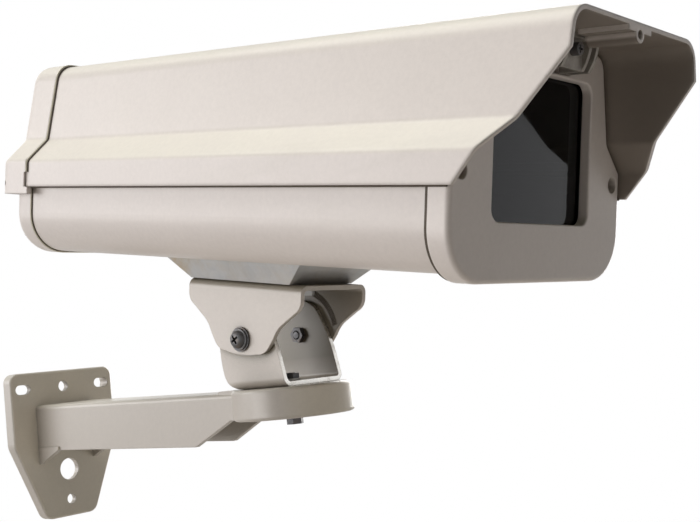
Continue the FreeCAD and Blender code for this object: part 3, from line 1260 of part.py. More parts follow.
def export_nodes():
    """Check every object and sub-part, then write one file for each"""
    doc.recompute()
    for thing in doc.Objects:
        if "Invalid" in thing.State or "Error" in thing.State:
            raise RuntimeError(f"{thing.Label} failed: {thing.State}")
    os.makedirs("parts", exist_ok=True)
    for label, piece in nodes.items():
        shape = piece.Shape
        if shape.isNull() or not shape.isValid() or not shape.Solids:
            raise RuntimeError(f"{label} has no valid solid")
        shape.exportStep(f"parts/{label}.step")
        print(label, len(shape.Solids), round(shape.Volume))


for make in (make_wall_arm, make_pan_bolt, make_swivel_bracket, make_tilt_yoke,
             make_pivot_fasteners, make_adapter_plate, make_adapter_bolts, make_lower_body,
             make_front_bezel, make_window, make_front_gasket, make_bezel_screws,
             make_rear_cap_lower, make_rear_gasket, make_glands, make_lid_seal,
             make_camera_sled, make_upper_cover, make_rear_cap_upper, make_rear_screws,
             make_hinge_pins, make_lid_catch):
    make()
export_nodes()
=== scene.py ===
import json
import math
import bmesh
import bpy
from mathutils import Matrix, Vector


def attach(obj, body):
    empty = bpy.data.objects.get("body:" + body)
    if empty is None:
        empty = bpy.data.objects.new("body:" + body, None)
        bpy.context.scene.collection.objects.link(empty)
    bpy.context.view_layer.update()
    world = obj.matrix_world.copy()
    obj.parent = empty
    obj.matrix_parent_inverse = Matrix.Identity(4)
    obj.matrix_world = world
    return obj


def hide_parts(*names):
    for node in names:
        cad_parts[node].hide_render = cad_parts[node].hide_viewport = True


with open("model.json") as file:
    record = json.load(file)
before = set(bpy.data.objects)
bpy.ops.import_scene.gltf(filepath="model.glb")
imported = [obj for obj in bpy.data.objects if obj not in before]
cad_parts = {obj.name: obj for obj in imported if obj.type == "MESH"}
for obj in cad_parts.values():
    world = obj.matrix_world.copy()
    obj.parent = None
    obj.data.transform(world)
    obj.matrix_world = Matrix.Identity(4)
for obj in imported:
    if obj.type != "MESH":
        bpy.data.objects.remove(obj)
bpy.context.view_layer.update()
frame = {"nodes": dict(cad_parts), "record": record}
scene = bpy.context.scene
scene.view_settings.view_transform = "Standard"

# The housing noses down from the row frame. Its own origin is at the nose, level with the skirts' edges.
LEAN = math.radians(10)
NOSE = Vector((0.3848073, 0, 0.063457))
AHEAD = Vector((math.cos(LEAN), 0, -math.sin(LEAN)))
OVER = Vector((math.sin(LEAN), 0, math.cos(LEAN)))
PIVOT = Vector((0.2087, 0, 0.0149))

# Sizes of the solids in millimetres, in the axes of the housing.
# The cover's corners: half width, height and radius at the top of the skirt, the shoulder and the crown.
COVER_CORNERS = [(74, 14.2, 4), (61, 27.2, 4), (54, 71, 11)]
SKIRT_INSIDE = 72
BODY_HALF, BODY_FOOT, BODY_ROUND = 69.5, -36.5, 22
EAR_INSIDE = 22.5
SCREW_SEAT = 26.2


def tilted(origin, x, y, z):
    """Point given in millimetres from an origin, in the axes of the housing"""
    return origin + AHEAD * (x / 1000) + Vector((0, y / 1000, 0)) + OVER * (z / 1000)


def housing(x, y, z):
    """Point given in millimetres from the nose of the housing"""
    return tilted(NOSE, x, y, z)


def rgb(r, g, b):
    return (r, g, b, 1)


# ---------------------------------------------------------------- camera and light

def make_camera():
    """Camera fitted to the photograph: it looks up by 4.9 degrees and leans by 5.8"""
    focal_pixels, photo_width, sensor = 1104.65, 700, 36
    yaw, pitch, roll = (math.radians(a) for a in (40.70, -4.91, -5.81))
    place = (0.63537, -0.42716, 0.00018)
    back = Vector((math.sin(yaw) * math.cos(pitch), -math.cos(yaw) * math.cos(pitch), math.sin(pitch)))
    level = Vector((math.cos(yaw), math.sin(yaw), 0))
    up = back.cross(level)
    right = level * math.cos(roll) + up * math.sin(roll)
    over = up * math.cos(roll) - level * math.sin(roll)
    data = bpy.data.cameras.new("camera")
    data.sensor_fit, data.sensor_width = "HORIZONTAL", sensor
    data.lens = focal_pixels * sensor / photo_width
    data.clip_start, data.clip_end = 0.01, 100
    camera = bpy.data.objects.new("camera", data)
    turn = Matrix((right, over, back)).transposed().to_4x4()
    camera.matrix_world = Matrix.Translation(place) @ turn
    scene.collection.objects.link(camera)
    scene.camera = camera


def make_lamp(name, place, target, size, power, colour):
    """Soft box at a place, turned to a target"""
    data = bpy.data.lights.new(name, "AREA")
    data.shape, data.size, data.size_y = "RECTANGLE", size[0], size[1]
    data.energy, data.color = power, colour
    lamp = bpy.data.objects.new(name, data)
    way = Vector(target) - Vector(place)
    lamp.matrix_world = Matrix.Translation(place) @ way.to_track_quat("-Z", "Y").to_matrix().to_4x4()
    scene.collection.objects.link(lamp)


def make_world():
    """Dim warm surroundings, which look white to the camera, in gloss and through glass"""
    world = bpy.data.worlds.new("world")
    scene.world = world
    world.use_nodes = True
    tree = world.node_tree
    tree.nodes.clear()
    link = tree.links.new
    out = tree.nodes.new("ShaderNodeOutputWorld")
    soft, white = tree.nodes.new("ShaderNodeBackground"), tree.nodes.new("ShaderNodeBackground")
    soft.inputs["Color"].default_value = rgb(1.0, 0.93, 0.84)
    soft.inputs["Strength"].default_value = 0.06
    white.inputs["Color"].default_value = rgb(1, 1, 1)
    white.inputs["Strength"].default_value = 1
    rays = tree.nodes.new("ShaderNodeLightPath")
    first, both = tree.nodes.new("ShaderNodeMath"), tree.nodes.new("ShaderNodeMath")
    first.operation = both.operation = "MAXIMUM"
    link(rays.outputs["Is Camera Ray"], first.inputs[0])
    link(rays.outputs["Is Glossy Ray"], first.inputs[1])
    link(first.outputs[0], both.inputs[0])
    link(rays.outputs["Is Transmission Ray"], both.inputs[1])
    mix = tree.nodes.new("ShaderNodeMixShader")
    link(both.outputs[0], mix.inputs[0])
    link(soft.outputs[0], mix.inputs[1])
    link(white.outputs[0], mix.inputs[2])
    link(mix.outputs[0], out.inputs["Surface"])


def make_floor():
    """Pale round floor that fades out at its rim and keeps the object's shadow"""
    middle, radius, fade_from, fade_to = Vector((0.25, 0, -0.3)), 1.3, 0.7, 1.28
    form = bmesh.new()
    bmesh.ops.create_circle(form, cap_ends=True, segments=96, radius=radius,
                            matrix=Matrix.Translation(middle))
    mesh = mesh_of(form, "floor")
    floor = bpy.data.objects.new("floor", mesh)
    scene.collection.objects.link(floor)
    f = Finish("floor")
    f.tree.nodes.remove(f.shader)
    dull = f.node("ShaderNodeBsdfDiffuse", {"Color": rgb(0.61, 0.58, 0.54)})
    bright = f.node("ShaderNodeEmission", {"Color": rgb(1, 1, 1), "Strength": 1.0})
    seen = f.node("ShaderNodeLightPath", {}, "Is Camera Ray")
    body = f.node("ShaderNodeMixShader", {0: f.math("MULTIPLY", seen, 0.8), 1: dull, 2: bright})
    centred = f.node("ShaderNodeMapping", {"Vector": f.place, "Location": -middle})
    reach = f.node("ShaderNodeVectorMath", {0: centred}, 1, operation="LENGTH")
    clear = f.node("ShaderNodeBsdfTransparent", {})
    rim = f.node("ShaderNodeMixShader", {0: f.remap(reach, fade_from, fade_to), 1: body, 2: clear})
    f.tree.links.new(rim, f.tree.nodes["Material Output"].inputs["Surface"])
    mesh.materials.append(f.mat)


# ---------------------------------------------------------------- materials

class Finish:
    """A material and the small pieces of node tree it is made from"""

    def __init__(self, name):
        self.mat = bpy.data.materials.new(name)
        self.mat.use_nodes = True
        self.tree = self.mat.node_tree
        self.shader = self.tree.nodes["Principled BSDF"]
        self.place = self.tree.nodes.new("ShaderNodeTexCoord").outputs["Object"]

    def node(self, kind, inputs, out=0, **facts):
        """Output of a new node, with sockets linked and constants set"""
        made = self.tree.nodes.new(kind)
        for name, fact in facts.items():
            setattr(made, name, fact)
        for key, fact in inputs.items():
            if isinstance(fact, bpy.types.NodeSocket):
                self.tree.links.new(fact, made.inputs[key])
            else:
                made.inputs[key].default_value = fact
        return made.outputs[out]

    def stretched(self, scale, turn=(0, 0, 0)):
        return self.node("ShaderNodeMapping", {"Vector": self.place, "Scale": scale, "Rotation": turn})

    def noise(self, scale, detail=3, rough=0.55, place=None):
        return self.node("ShaderNodeTexNoise", {"Vector": place or self.place, "Scale": scale,
                                                "Detail": detail, "Roughness": rough})

    def cells(self, scale, out):
        return self.node("ShaderNodeTexVoronoi", {"Vector": self.place, "Scale": scale}, out)

    def remap(self, fact, low, high, to_low=0.0, to_high=1.0):
        return self.node("ShaderNodeMapRange", {"Value": fact, "From Min": low, "From Max": high,
                                                "To Min": to_low, "To Max": to_high})

    def math(self, kind, one, two):
        return self.node("ShaderNodeMath", {0: one, 1: two}, operation=kind)

    def times(self, one, two):
        return self.math("MULTIPLY", one, two)

    def mix(self, share, one, two, kind="MIX"):
        return self.node("ShaderNodeMix", {0: share, 6: one, 7: two}, 2, data_type="RGBA", blend_type=kind)

    def outward(self):
        """The unbumped normal in the row frame"""
        return self.tree.nodes.new("ShaderNodeTexCoord").outputs["Normal"]

    def part(self, vector, axis):
        """One coordinate of a vector"""
        return self.node("ShaderNodeSeparateXYZ", {0: vector}, axis)

    def facing(self, axis):
        """How far the surface faces along an axis of the row frame"""
        return self.part(self.outward(), axis)

    def edges(self, radius):
        """1 on rounded edges, 0 on flats, and the rounded normal itself"""
        soft = self.node("ShaderNodeBevel", {"Radius": radius}, samples=6)
        flat = self.tree.nodes.new("ShaderNodeNewGeometry").outputs["Normal"]
        dot = self.node("ShaderNodeVectorMath", {0: soft, 1: flat}, 1, operation="DOT_PRODUCT")
        return self.remap(dot, 0.98, 0.78), soft

    def crevice(self, distance, low=0.12, high=0.48):
        """1 in corners and gaps, where less than low of the surroundings is open, 0 above high"""
        open_share = self.node("ShaderNodeAmbientOcclusion", {"Distance": distance}, "AO", samples=6)
        return self.remap(open_share, high, low)

    def bump(self, height, distance, normal, strength=1.0):
        return self.node("ShaderNodeBump", {"Height": height, "Distance": distance, "Normal": normal,
                                            "Strength": strength})

    def ends(self, **sockets):
        """Puts the results into the shader's sockets; words with _ stand for its names"""
        for name, fact in sockets.items():
            socket = self.shader.inputs[name.replace("_", " ")]
            if isinstance(fact, bpy.types.NodeSocket):
                self.tree.links.new(fact, socket)
            else:
                socket.default_value = fact
        return self.mat


def powder_coat(name, side, top, grime_and_shade, gloss, worn=0.25, bare=False, inside=0.0, fold=0.0007,
                streaks=0.2, hollow=None, front=None):
    """Powder coat with painted light from above, lighter and yellower where it faces up, with orange peel,
    dust and rubbed edges.

    side, top and front colour it by the way it faces: side is the paint, while top, lighter and yellower on
    faces turned up, and front, on faces that look ahead along X, are painted light. The grime colour tints
    the dust specks and also the soiling and painted shade in gaps, gloss is its least roughness and fold the
    radius of its soft edges. worn, streaks and inside are shares of rubbed paint, of water stains and of
    painted shade inside the cover. hollow gives the share of painted shade in hollows and the openness where
    it is full and where it ends. bare shows the metal of sheared edges.
    """
    f = Finish(name)
    edge, soft = f.edges(fold)
    # painted light: faces turned up take the lighter, yellower top colour, standing for warm light from above
    lit_from_above = f.remap(f.facing("Z"), 0.05, 0.75)
    colour = f.mix(f.times(lit_from_above, f.remap(f.noise(9, 4, 0.6), 0.25, 0.7, 0.7, 1.0)), side, top)
    if front:
        # painted light: faces that look ahead along X, such as the face of the wall plate, take the lighter,
        # yellower front colour, standing for light that falls on them
        colour = f.mix(f.remap(f.facing("X"), 0.5, 0.9), colour, front)
    # broad uneven weathering and fine grain
    cloud = f.remap(f.noise(26, 5, 0.62), 0.35, 0.72)
    colour = f.mix(f.times(cloud, 0.16), colour, rgb(*(c * 0.86 for c in side[:3])))
    fine = f.remap(f.noise(420, 3, 0.7), 0.3, 0.75, 0.965, 1.02)
    colour = f.mix(1.0, colour, f.node("ShaderNodeCombineColor", {0: fine, 1: fine, 2: fine}), "MULTIPLY")
    if streaks:
        # long dull streaks that water leaves along the sides
        wet = f.remap(f.noise(30, 3, 0.6, f.stretched((0.12, 1, 1))), 0.58, 0.76)
        colour = f.mix(f.times(wet, streaks), colour, rgb(0.50, 0.475, 0.40))
    # specks of dust and tiny chips, in patches
    specks = f.times(f.remap(f.cells(330, "Distance"), 0.13, 0.06), f.remap(f.noise(60), 0.6, 0.68))
    colour = f.mix(f.times(specks, 0.07), colour, grime_and_shade)
    if inside:
        # painted shade: the inside of the cover is darkened, standing for the shade under the cover and the
        # visor
        middle = tuple(housing(0, 0, 35))
        away = f.node("ShaderNodeVectorMath", {0: f.place, 1: middle}, operation="SUBTRACT")
        outward = f.node("ShaderNodeVectorMath", {0: away, 1: f.outward()}, 1, operation="DOT_PRODUCT")
        colour = f.mix(f.times(f.remap(outward, -0.002, -0.012), inside), colour, rgb(0.16, 0.128, 0.10))
    if hollow:
        # painted shade: surfaces deep in hollows are darkened, standing for the shade that falls there
        share, low, high = hollow
        hollow_shade = f.crevice(0.05, low, high)
        if bare:
            # less of the painted shade low on the swivel, so it is darker towards the top
            hollow_shade = f.times(hollow_shade, f.remap(f.part(f.place, "Z"), -0.013, 0.002, 0.3, 1.0))
        colour = f.mix(f.times(hollow_shade, share), colour, rgb(0.19, 0.165, 0.12))
    # dirt that gathers in the gaps, and painted shade: it darkens gaps and holes where shade falls
    dirt_and_shade = f.times(f.crevice(0.010), f.remap(f.noise(75, 4), 0.3, 0.65, 0.35, 1.0))
    colour = f.mix(f.times(dirt_and_shade, 0.8), colour, grime_and_shade)
    # paint rubbed thin along edges
    rub = f.times(edge, f.remap(f.noise(160, 4), 0.42, 0.62))
    colour = f.mix(f.times(rub, worn), colour, rgb(0.93, 0.90, 0.83))
    rough = f.math("ADD", f.remap(f.noise(55, 3, 0.5), 0.15, 0.85, gloss, gloss + 0.06), f.times(dirt_and_shade, 0.2))
    # orange peel over a slightly uneven surface
    normal = f.bump(f.noise(900, 2, 0.5), 0.000018, soft)
    normal = f.bump(f.noise(38, 2, 0.5), 0.00012, normal, 0.5)
    if bare:
        # sheared edges of the sheet, where the coat is thin and the metal shines through
        level = f.math("ABSOLUTE", f.facing("Y"), 0)
        cut_face = f.times(f.remap(level, 0.45, 0.15), f.remap(f.facing("X"), 0.45, 0.8))
        cut_face = f.times(cut_face, f.remap(f.noise(120, 4), 0.25, 0.5, 0.55, 1.0))
        colour = f.mix(cut_face, colour, rgb(0.86, 0.84, 0.80))
        rough = f.math("SUBTRACT", rough, f.times(cut_face, 0.08))
        f.ends(Metallic=f.times(cut_face, 0.9))
    return f.ends(Base_Color=colour, Roughness=rough, Normal=normal, Coat_Weight=0.12, Coat_Roughness=0.22)


def zinc_plate(name):
    """Passivated zinc: faint bluish spangle, brown tarnish towards the rear, handling marks"""
    f = Finish(name)
    edge, soft = f.edges(0.0005)
    grain = f.node("ShaderNodeSeparateColor", {0: f.cells(150, "Color")})
    colour = f.mix(f.remap(grain, 0, 1), rgb(0.49, 0.505, 0.525), rgb(0.54, 0.55, 0.565))
    cloud = f.remap(f.noise(34, 4, 0.6), 0.42, 0.62)
    colour = f.mix(f.times(cloud, 0.6), colour, rgb(0.62, 0.61, 0.60))
    brown = f.remap(f.noise(40, 5, 0.65, f.stretched((1, 1, 1), (0, 0, 0.4))), 0.46, 0.66)
    rear = f.remap(f.part(f.place, "X"), 0.205, 0.165, 0.35, 1.0)
    colour = f.mix(f.times(brown, rear), colour, rgb(0.50, 0.425, 0.33))
    # dirt and painted shade: darker in corners and gaps
    colour = f.mix(f.times(f.crevice(0.006), 0.6), colour, rgb(0.10, 0.085, 0.07))
    colour = f.mix(f.times(edge, 0.5), colour, rgb(0.74, 0.73, 0.71))
    streak = f.noise(90, 3, 0.6, f.stretched((14, 1, 1)))
    rough = f.math("ADD", f.remap(streak, 0.3, 0.7, 0.40, 0.56), f.times(brown, 0.15))
    return f.ends(Base_Color=colour, Metallic=0.55, Roughness=rough, Normal=f.bump(streak, 0.00003, soft))


def steel(name):
    """Plated screw steel, dulled and lightly stained"""
    f = Finish(name)
    edge, soft = f.edges(0.0003)
    stain = f.remap(f.noise(230, 4, 0.65), 0.48, 0.68)
    colour = f.mix(f.times(stain, 0.35), rgb(0.105, 0.105, 0.11), rgb(0.20, 0.135, 0.085))
    # dirt and painted shade: darker in corners and gaps
    colour = f.mix(f.times(f.crevice(0.003), 0.7), colour, rgb(0.03, 0.028, 0.025))
    colour = f.mix(f.times(edge, 0.45), colour, rgb(0.42, 0.41, 0.40))
    return f.ends(Base_Color=colour, Metallic=0.6, Roughness=f.remap(f.noise(600, 3), 0.3, 0.7, 0.38, 0.58),
                  Normal=f.bump(f.noise(1500, 2), 0.00001, soft))


def aluminium(name):
    """Mill finish with drawn lines along the sheet"""
    f = Finish(name)
    edge, soft = f.edges(0.0004)
    lines = f.noise(700, 3, 0.6, f.stretched((0.03, 1, 1)))
    colour = f.mix(f.remap(lines, 0.3, 0.7), rgb(0.50, 0.505, 0.51), rgb(0.66, 0.66, 0.65))
    # dirt and painted shade: darker in corners and gaps
    colour = f.mix(f.times(f.crevice(0.006), 0.5), colour, rgb(0.14, 0.13, 0.12))
    return f.ends(Base_Color=colour, Metallic=1.0, Roughness=f.remap(lines, 0.3, 0.7, 0.28, 0.42),
                  Normal=f.bump(lines, 0.00001, soft))


def dull_black(name, base, rough_at, grain):
    """Rubber or moulded plastic with a fine grain and pale dust"""
    f = Finish(name)
    edge, soft = f.edges(0.0004)
    dust = f.times(f.remap(f.noise(110, 5, 0.65), 0.45, 0.75), f.remap(f.facing("Z"), -0.4, 0.9))
    colour = f.mix(f.times(dust, 0.35), base, rgb(0.22, 0.21, 0.19))
    colour = f.mix(f.times(edge, 0.2), colour, rgb(0.16, 0.16, 0.155))
    rough = f.remap(f.noise(300, 3), 0.3, 0.7, rough_at - 0.06, rough_at + 0.08)
    return f.ends(Base_Color=colour, Roughness=rough, Normal=f.bump(f.noise(grain, 2), 0.00003, soft))


def glass(name):
    """Smoked pane with a faint blue gloss and a film of dust"""
    f = Finish(name)
    film = f.remap(f.noise(32, 5, 0.65), 0.4, 0.8, 0.02, 0.09)
    normal = f.bump(f.noise(20, 2), 0.00004, f.node("ShaderNodeNewGeometry", {}, "Normal"))
    return f.ends(Base_Color=rgb(0.075, 0.078, 0.088), Transmission_Weight=1.0, IOR=1.45, Roughness=film,
                  Specular_Tint=rgb(0.155, 0.16, 0.18), Normal=normal)


def cast_metal(name):
    """Dull cast aluminium, darker in its corners and gaps, with soiling there and painted shade"""
    f = Finish(name)
    edge, soft = f.edges(0.0006)
    colour = f.mix(f.remap(f.noise(140, 4, 0.6), 0.35, 0.7), rgb(0.40, 0.37, 0.335), rgb(0.26, 0.235, 0.21))
    # soiling and painted shade: darker in corners and gaps
    colour = f.mix(f.times(f.crevice(0.004), 0.7), colour, rgb(0.05, 0.04, 0.035))
    colour = f.mix(f.times(edge, 0.5), colour, rgb(0.58, 0.55, 0.51))
    return f.ends(Base_Color=colour, Metallic=0.35, Roughness=f.remap(f.noise(500, 3), 0.3, 0.7, 0.45, 0.62),
                  Normal=f.bump(f.noise(800, 3), 0.00004, soft))


def make_materials():
    """All materials by name; those named as a slot of the record paint the nodes of that slot"""
    # the top colours are lighter and yellower than the sides: painted light from above
    cream = dict(side=rgb(0.775, 0.715, 0.68), top=rgb(0.83, 0.79, 0.675), grime_and_shade=rgb(0.20, 0.165, 0.125),
                 gloss=0.40)
    # the grime colours, here and in cream, tint dust specks and also dirt and painted shade in gaps
    soil_and_shade = rgb(0.13, 0.105, 0.08)
    arm = dict(side=rgb(0.535, 0.495, 0.45), top=rgb(0.58, 0.55, 0.475), grime_and_shade=soil_and_shade, gloss=0.30, worn=0.4,
               streaks=0)
    sheet = dict(side=rgb(0.69, 0.635, 0.585), top=rgb(0.70, 0.65, 0.58), grime_and_shade=soil_and_shade, gloss=0.32, worn=0.4,
                 streaks=0)
    return {
        "cream_paint": powder_coat("cream_paint", **cream, fold=0.001),
        # inside darkens the inside of the cover: painted shade
        "cover_paint": powder_coat("cover_paint", **cream, fold=0.0024, inside=0.85),
        # hollow darkens hollows: painted shade
        "bracket_paint": powder_coat("bracket_paint", **arm, hollow=(0.45, 0.3, 0.62),
                                     # front lightens faces that look ahead along X: painted light
                                     front=rgb(0.84, 0.785, 0.67)),
        # hollow on the swivel and the yoke is painted shade as well
        "sheet_paint": powder_coat("sheet_paint", **sheet, bare=True, hollow=(1.0, 0.7, 0.98)),
        "yoke_paint": powder_coat("yoke_paint", **sheet, hollow=(0.95, 0.42, 0.86)),
        # lighter, yellower paint for the rounded lip edges: a painted highlight
        "bead_highlight_paint": powder_coat("bead_highlight_paint", rgb(0.86, 0.82, 0.67), rgb(0.88, 0.84, 0.68), soil_and_shade, 0.38),
        "plain_aluminium": aluminium("plain_aluminium"),
        "cast_metal": cast_metal("cast_metal"),
        "zinc_plate": zinc_plate("zinc_plate"),
        "screw_steel": steel("screw_steel"),
        "seal_rubber": dull_black("seal_rubber", rgb(0.022, 0.022, 0.022), 0.72, 1400),
        # dark brown rubber of the gaskets, also put on beads, lips and a sheet that stand for shadow lines:
        # painted shade
        "seam_rubber_and_shade": dull_black("seam_rubber_and_shade", rgb(0.085, 0.065, 0.048), 0.75, 1400),
        "window_glass": glass("window_glass"),
        "black_plastic": dull_black("black_plastic", rgb(0.028, 0.028, 0.030), 0.48, 900),
    }


def paint_nodes(materials):
    """Gives each node the material of its slot, or one of its own"""
    special = {"upper_cover": "cover_paint", "lid_catch": "cast_metal", "swivel_bracket": "sheet_paint",
               "tilt_yoke": "yoke_paint", "front_gasket": "seam_rubber_and_shade", "rear_gasket": "seam_rubber_and_shade",
               "pivot_nuts": "screw_steel"}
    for row in frame["record"]["subparts"]:
        mesh = frame["nodes"][row["node"]].data
        mesh.materials.clear()
        mesh.materials.append(materials[special.get(row["node"], row["material_slot"])])


# ---------------------------------------------------------------- pieces that the solids leave out

def show(name, data, material, body):
    """Piece that rides on a body of the part"""
    data.materials.clear()
    data.materials.append(material)
    piece = bpy.data.objects.new(name, data)
    scene.collection.objects.link(piece)
    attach(piece, body)
    return piece


def mesh_of(form, name):
    """Mesh made from a form, which is used up"""
    mesh = bpy.data.meshes.new(name)
    form.to_mesh(mesh)
    form.free()
    return mesh


def loft(form, rings):
    """Closed skin over a row of rings of vertices"""
    for one, two in zip(rings, rings[1:]):
        for k in range(len(one)):
            after = (k + 1) % len(one)
            form.faces.new((one[k], one[after], two[after], two[k]))
    form.faces.new(rings[0])
    form.faces.new(rings[-1])


def bell_line(grow, low):
    """Outline of the cover moved outward by grow, from the near skirt over the crown to the far one"""
    folds = 8
    whole = [(-COVER_CORNERS[0][0], low, 0)] + [(-y, z, r) for y, z, r in COVER_CORNERS]
    whole += [(-y, z, r) for y, z, r in reversed(whole)]
    points = [Vector((y, z)) for y, z, _ in whole]
    sides = [(b - a).normalized() for a, b in zip(points, points[1:])]
    outs = [Vector((-d.y, d.x)) for d in sides]
    moved = [points[0] + outs[0] * grow]
    for corner, one, two in zip(points[1:-1], outs, outs[1:]):
        moved.append(corner + (one + two) * (grow / (1 + one.dot(two))))
    moved.append(points[-1] + outs[-1] * grow)
    line = [moved[0]]
    for k in range(1, len(moved) - 1):
        corner, before, after = moved[k], -sides[k - 1], sides[k]
        radius = whole[k][2] + (grow if sides[k - 1].cross(after) < 0 else 0)
        reach = radius * math.tan((math.pi - before.angle(after)) / 2)
        start, end = corner + before * reach, corner + after * reach
        for step in range(folds + 1):
            t = step / folds
            line.append(start * (1 - t) ** 2 + corner * (2 * t * (1 - t)) + end * t ** 2)
    line.append(moved[-1])
    return line


def trough_line(grow, top):
    """Outline of the lower body moved outward by grow, from the near rim under it to the far one"""
    folds = 14
    half, foot, radius = BODY_HALF + grow, BODY_FOOT - grow, BODY_ROUND + grow
    line = [Vector((-half, top))]
    for side, quarter in ((-1, 1.0), (1, 1.5)):
        centre = Vector((side * (half - radius), foot + radius))
        for step in range(folds + 1):
            turn = math.pi * (quarter + 0.5 * step / folds)
            line.append(centre + Vector((math.cos(turn), math.sin(turn))) * radius)
    line.append(Vector((half, top)))
    return line


def bead(name, line, x, thick, material, body):
    """Round bead along an outline that stands across the housing"""
    data = bpy.data.curves.new(name, "CURVE")
    data.dimensions = "3D"
    data.bevel_depth, data.bevel_resolution = thick / 1000, 3
    data.use_fill_caps = True
    spline = data.splines.new("POLY")
    spline.points.add(len(line) - 1)
    for point, flat in zip(spline.points, line):
        point.co = (*housing(x, flat.x, flat.y), 1)
    show(name, data, material, body)


def make_beads(paint, shadow_line_look):
    """Rounded edges of the rear caps' lips in a lighter paint, a painted highlight, with a dark bead in front
    of each that stands for the shadow line at the seam: painted shade
    """
    cap_low, trough_top = 8.2, -1
    # the lip edges take the lighter paint: a painted highlight
    bead("cap_lip_edge", bell_line(0.70, cap_low), -292.45, 0.58, paint, "lid")
    # dark bead that stands for the shadow line in front of the lip: painted shade
    bead("cap_lip_shadow_line", bell_line(0.12, cap_low), -291.55, 0.42, shadow_line_look, "lid")
    bead("low_lip_edge", trough_line(0.58, trough_top), -294.0, 0.46, paint, "housing")
    bead("low_lip_shadow_line", trough_line(0.06, trough_top), -293.3, 0.36, shadow_line_look, "housing")


def make_skirt_shade_lips(material):
    """Dark lips under the skirts of the cover, by the body and by the bezel, which stand for the shadow line
    under the skirts: painted shade
    """
    back, bezel_back, front = -291.6, -12.7, -0.6
    body_side, bezel_side = 69.75, 71.2
    inside, under, outside = SKIRT_INSIDE - 0.05, SKIRT_INSIDE + 0.2, SKIRT_INSIDE + 1
    form = bmesh.new()
    for side, inner, lengths in ((-1, body_side, (back, bezel_back)), (1, body_side, (back, bezel_back)),
                                 (-1, bezel_side, (bezel_back, front)), (1, bezel_side, (bezel_back, front))):
        section = ((inner, 0.9), (inner + 0.25, -0.35), ((inner + under) / 2, -0.75), (under, -0.55),
                   (outside, -0.05), (inside, 0.15), (inside, 0.9))
        loft(form, [[form.verts.new(housing(x, side * y, z)) for y, z in section] for x in lengths])
    bmesh.ops.recalc_face_normals(form, faces=form.faces)
    show("skirt_shade_lips", mesh_of(form, "skirt_shade_lips"), material, "lid")


def lathe(profile):
    """Closed solid turned about Z from points (radius, height)"""
    around = 48
    form = bmesh.new()
    rings = []
    for radius, height in profile:
        if radius == 0:
            rings.append([form.verts.new((0, 0, height))])
            continue
        turns = (2 * math.pi * k / around for k in range(around))
        rings.append([form.verts.new((radius * math.cos(a), radius * math.sin(a), height)) for a in turns])
    for one, two in zip(rings, rings[1:]):
        for k in range(around):
            corners = [one[k % len(one)], one[(k + 1) % len(one)], two[(k + 1) % len(two)], two[k % len(two)]]
            form.faces.new(list(dict.fromkeys(corners)))
    bmesh.ops.recalc_face_normals(form, faces=form.faces)
    return form


def cross_cutter(span, width, depth, top):
    """Cross recess that narrows as it goes down, in Z"""
    form = bmesh.new()
    for turn in (0, math.pi / 2):
        made = bmesh.ops.create_cube(form, size=1)["verts"]
        for v in made:
            narrow = 1.0 if v.co.z > 0 else 0.52
            v.co = Vector((v.co.x * span * narrow, v.co.y * width * (0.6 + 0.4 * narrow),
                           top + (1 if v.co.z > 0 else -depth)))
        bmesh.ops.rotate(form, verts=made, cent=(0, 0, 0), matrix=Matrix.Rotation(turn, 3, "Z"))
    return form


def carved(solid, cutter):
    """Mesh of a solid less a cutter"""
    one = bpy.data.objects.new("solid", mesh_of(solid, "solid"))
    two = bpy.data.objects.new("cutter", mesh_of(cutter, "cutter"))
    for piece in (one, two):
        scene.collection.objects.link(piece)
    less = one.modifiers.new("less", "BOOLEAN")
    less.object, less.operation, less.solver, less.use_self = two, "DIFFERENCE", "EXACT", True
    bpy.context.view_layer.update()
    made = bpy.data.meshes.new_from_object(one.evaluated_get(bpy.context.evaluated_depsgraph_get()))
    for piece in (one, two):
        bpy.data.objects.remove(piece)
    return made


def make_pivot_screws(material):
    """Pan heads with a cross recess and a broad foot, whose threaded ends show inside the ears"""
    top, shank, pitch, thread_depth, end, recess_turn = 4.0, 2.45, 0.8, 0.28, -9.8, 0.5
    head = [(0, top), (2.0, 3.93), (3.1, 3.65), (3.9, 3.15), (4.45, 2.4), (4.7, 1.6), (4.75, 1.0),
            (5.6, 0.95), (5.8, 0.7), (5.8, 0.2), (5.65, 0), (shank, 0)]
    thread = [(shank - thread_depth * (k % 2), -pitch / 2 * k - 1.6) for k in range(20)]
    whole = bmesh.new()
    for side in (-1, 1):
        form = lathe(head + [(shank, -1.2)] + thread + [(1.9, end), (0, end)])
        made = carved(form, cross_cutter(span=6.4, width=1.35, depth=2.3, top=top))
        turn = Matrix.Rotation(math.radians(-90 * side), 4, "X") @ Matrix.Rotation(recess_turn, 4, "Z")
        place = Matrix.Translation(PIVOT + Vector((0, side * SCREW_SEAT / 1000, 0)))
        made.transform(place @ turn @ Matrix.Scale(0.001, 4))
        whole.from_mesh(made)
    mesh = mesh_of(whole, "pivot_screw_heads")
    mesh.polygons.foreach_set("use_smooth", [True] * len(mesh.polygons))
    mesh.set_sharp_from_angle(angle=math.radians(40))
    piece = show("pivot_screw_heads", mesh, material, "swivel")
    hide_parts("pivot_screws")


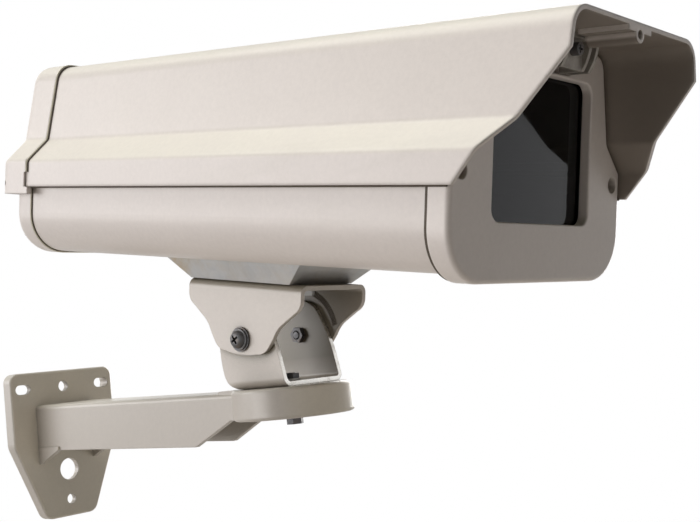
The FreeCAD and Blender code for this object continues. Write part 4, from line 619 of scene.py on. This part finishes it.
def make_teeth(paint, gap_shade):
    """Fine radial teeth pressed into the ears of the yoke round the swivel's domes, over a dark sheet that
    stands for the shade between them: painted shade
    """
    # angles in degrees from straight ahead up over the pivot, all else in millimetres
    teeth, first, sweep, inner, outer = 57, 18, 144, 22.7, 26.3
    half, rise, sunk = 0.27, 0.27, 0.02
    steps, margin, gap_shade_rise, gap_shade_sunk = 48, 1, 0.06, 0.1
    form, ground = bmesh.new(), bmesh.new()
    for side in (-1, 1):
        for k in range(teeth):
            turn = math.radians(first + k * sweep / (teeth - 1))
            x, z = math.cos(turn), math.sin(turn)
            loft(form, [[form.verts.new(tilted(PIVOT, radius * x - shift * z, side * (EAR_INSIDE + depth),
                                               radius * z + shift * x))
                         for shift, depth in ((-half, sunk), (0, -rise), (half, sunk))]
                        for radius in (inner, outer)])
        # the dark sheet between the teeth is painted shade
        low, high = EAR_INSIDE - gap_shade_rise, EAR_INSIDE + gap_shade_sunk
        section = ((inner + 0.2, low), (outer - 0.2, low), (outer - 0.2, high), (inner + 0.2, high))
        turns = (math.radians(first - margin + k * (sweep + 2 * margin) / steps) for k in range(steps + 1))
        loft(ground, [[ground.verts.new(tilted(PIVOT, r * math.cos(a), side * y, r * math.sin(a)))
                       for r, y in section] for a in turns])
    for made, name, look, slot in ((form, "yoke_teeth", paint, "bracket_paint"),
                                   (ground, "yoke_teeth_gap_shade", gap_shade, "seal_rubber")):
        bmesh.ops.recalc_face_normals(made, faces=made.faces)
        show(name, mesh_of(made, name), look, "housing")


make_camera()
make_world()
make_floor()
make_lamp("top", (-0.92, -1.0, 3.95), (0.22, 0, 0.05), (3.2, 3.2), 114, (1.0, 0.985, 0.955))
make_lamp("near_side", (-5.45, -5.1, 2.07), (0.25, 0, 0.03), (4.2, 4.2), 262, (1.0, 0.985, 0.99))
make_lamp("low_side", (-1.45, -4.4, -0.3), (0.25, 0, 0.02), (2.6, 0.9), 48, (1.0, 0.98, 0.97))
make_lamp("far_side", (-0.7, 2.6, 0.7), (0.2, 0, 0.05), (1.8, 1.8), 60, (1.0, 0.985, 0.97))
materials = make_materials()
paint_nodes(materials)
make_pivot_screws(materials["screw_steel"])
make_teeth(materials["yoke_paint"], materials["seam_rubber_and_shade"])
make_beads(materials["bead_highlight_paint"], materials["seam_rubber_and_shade"])
make_skirt_shade_lips(materials["seam_rubber_and_shade"])
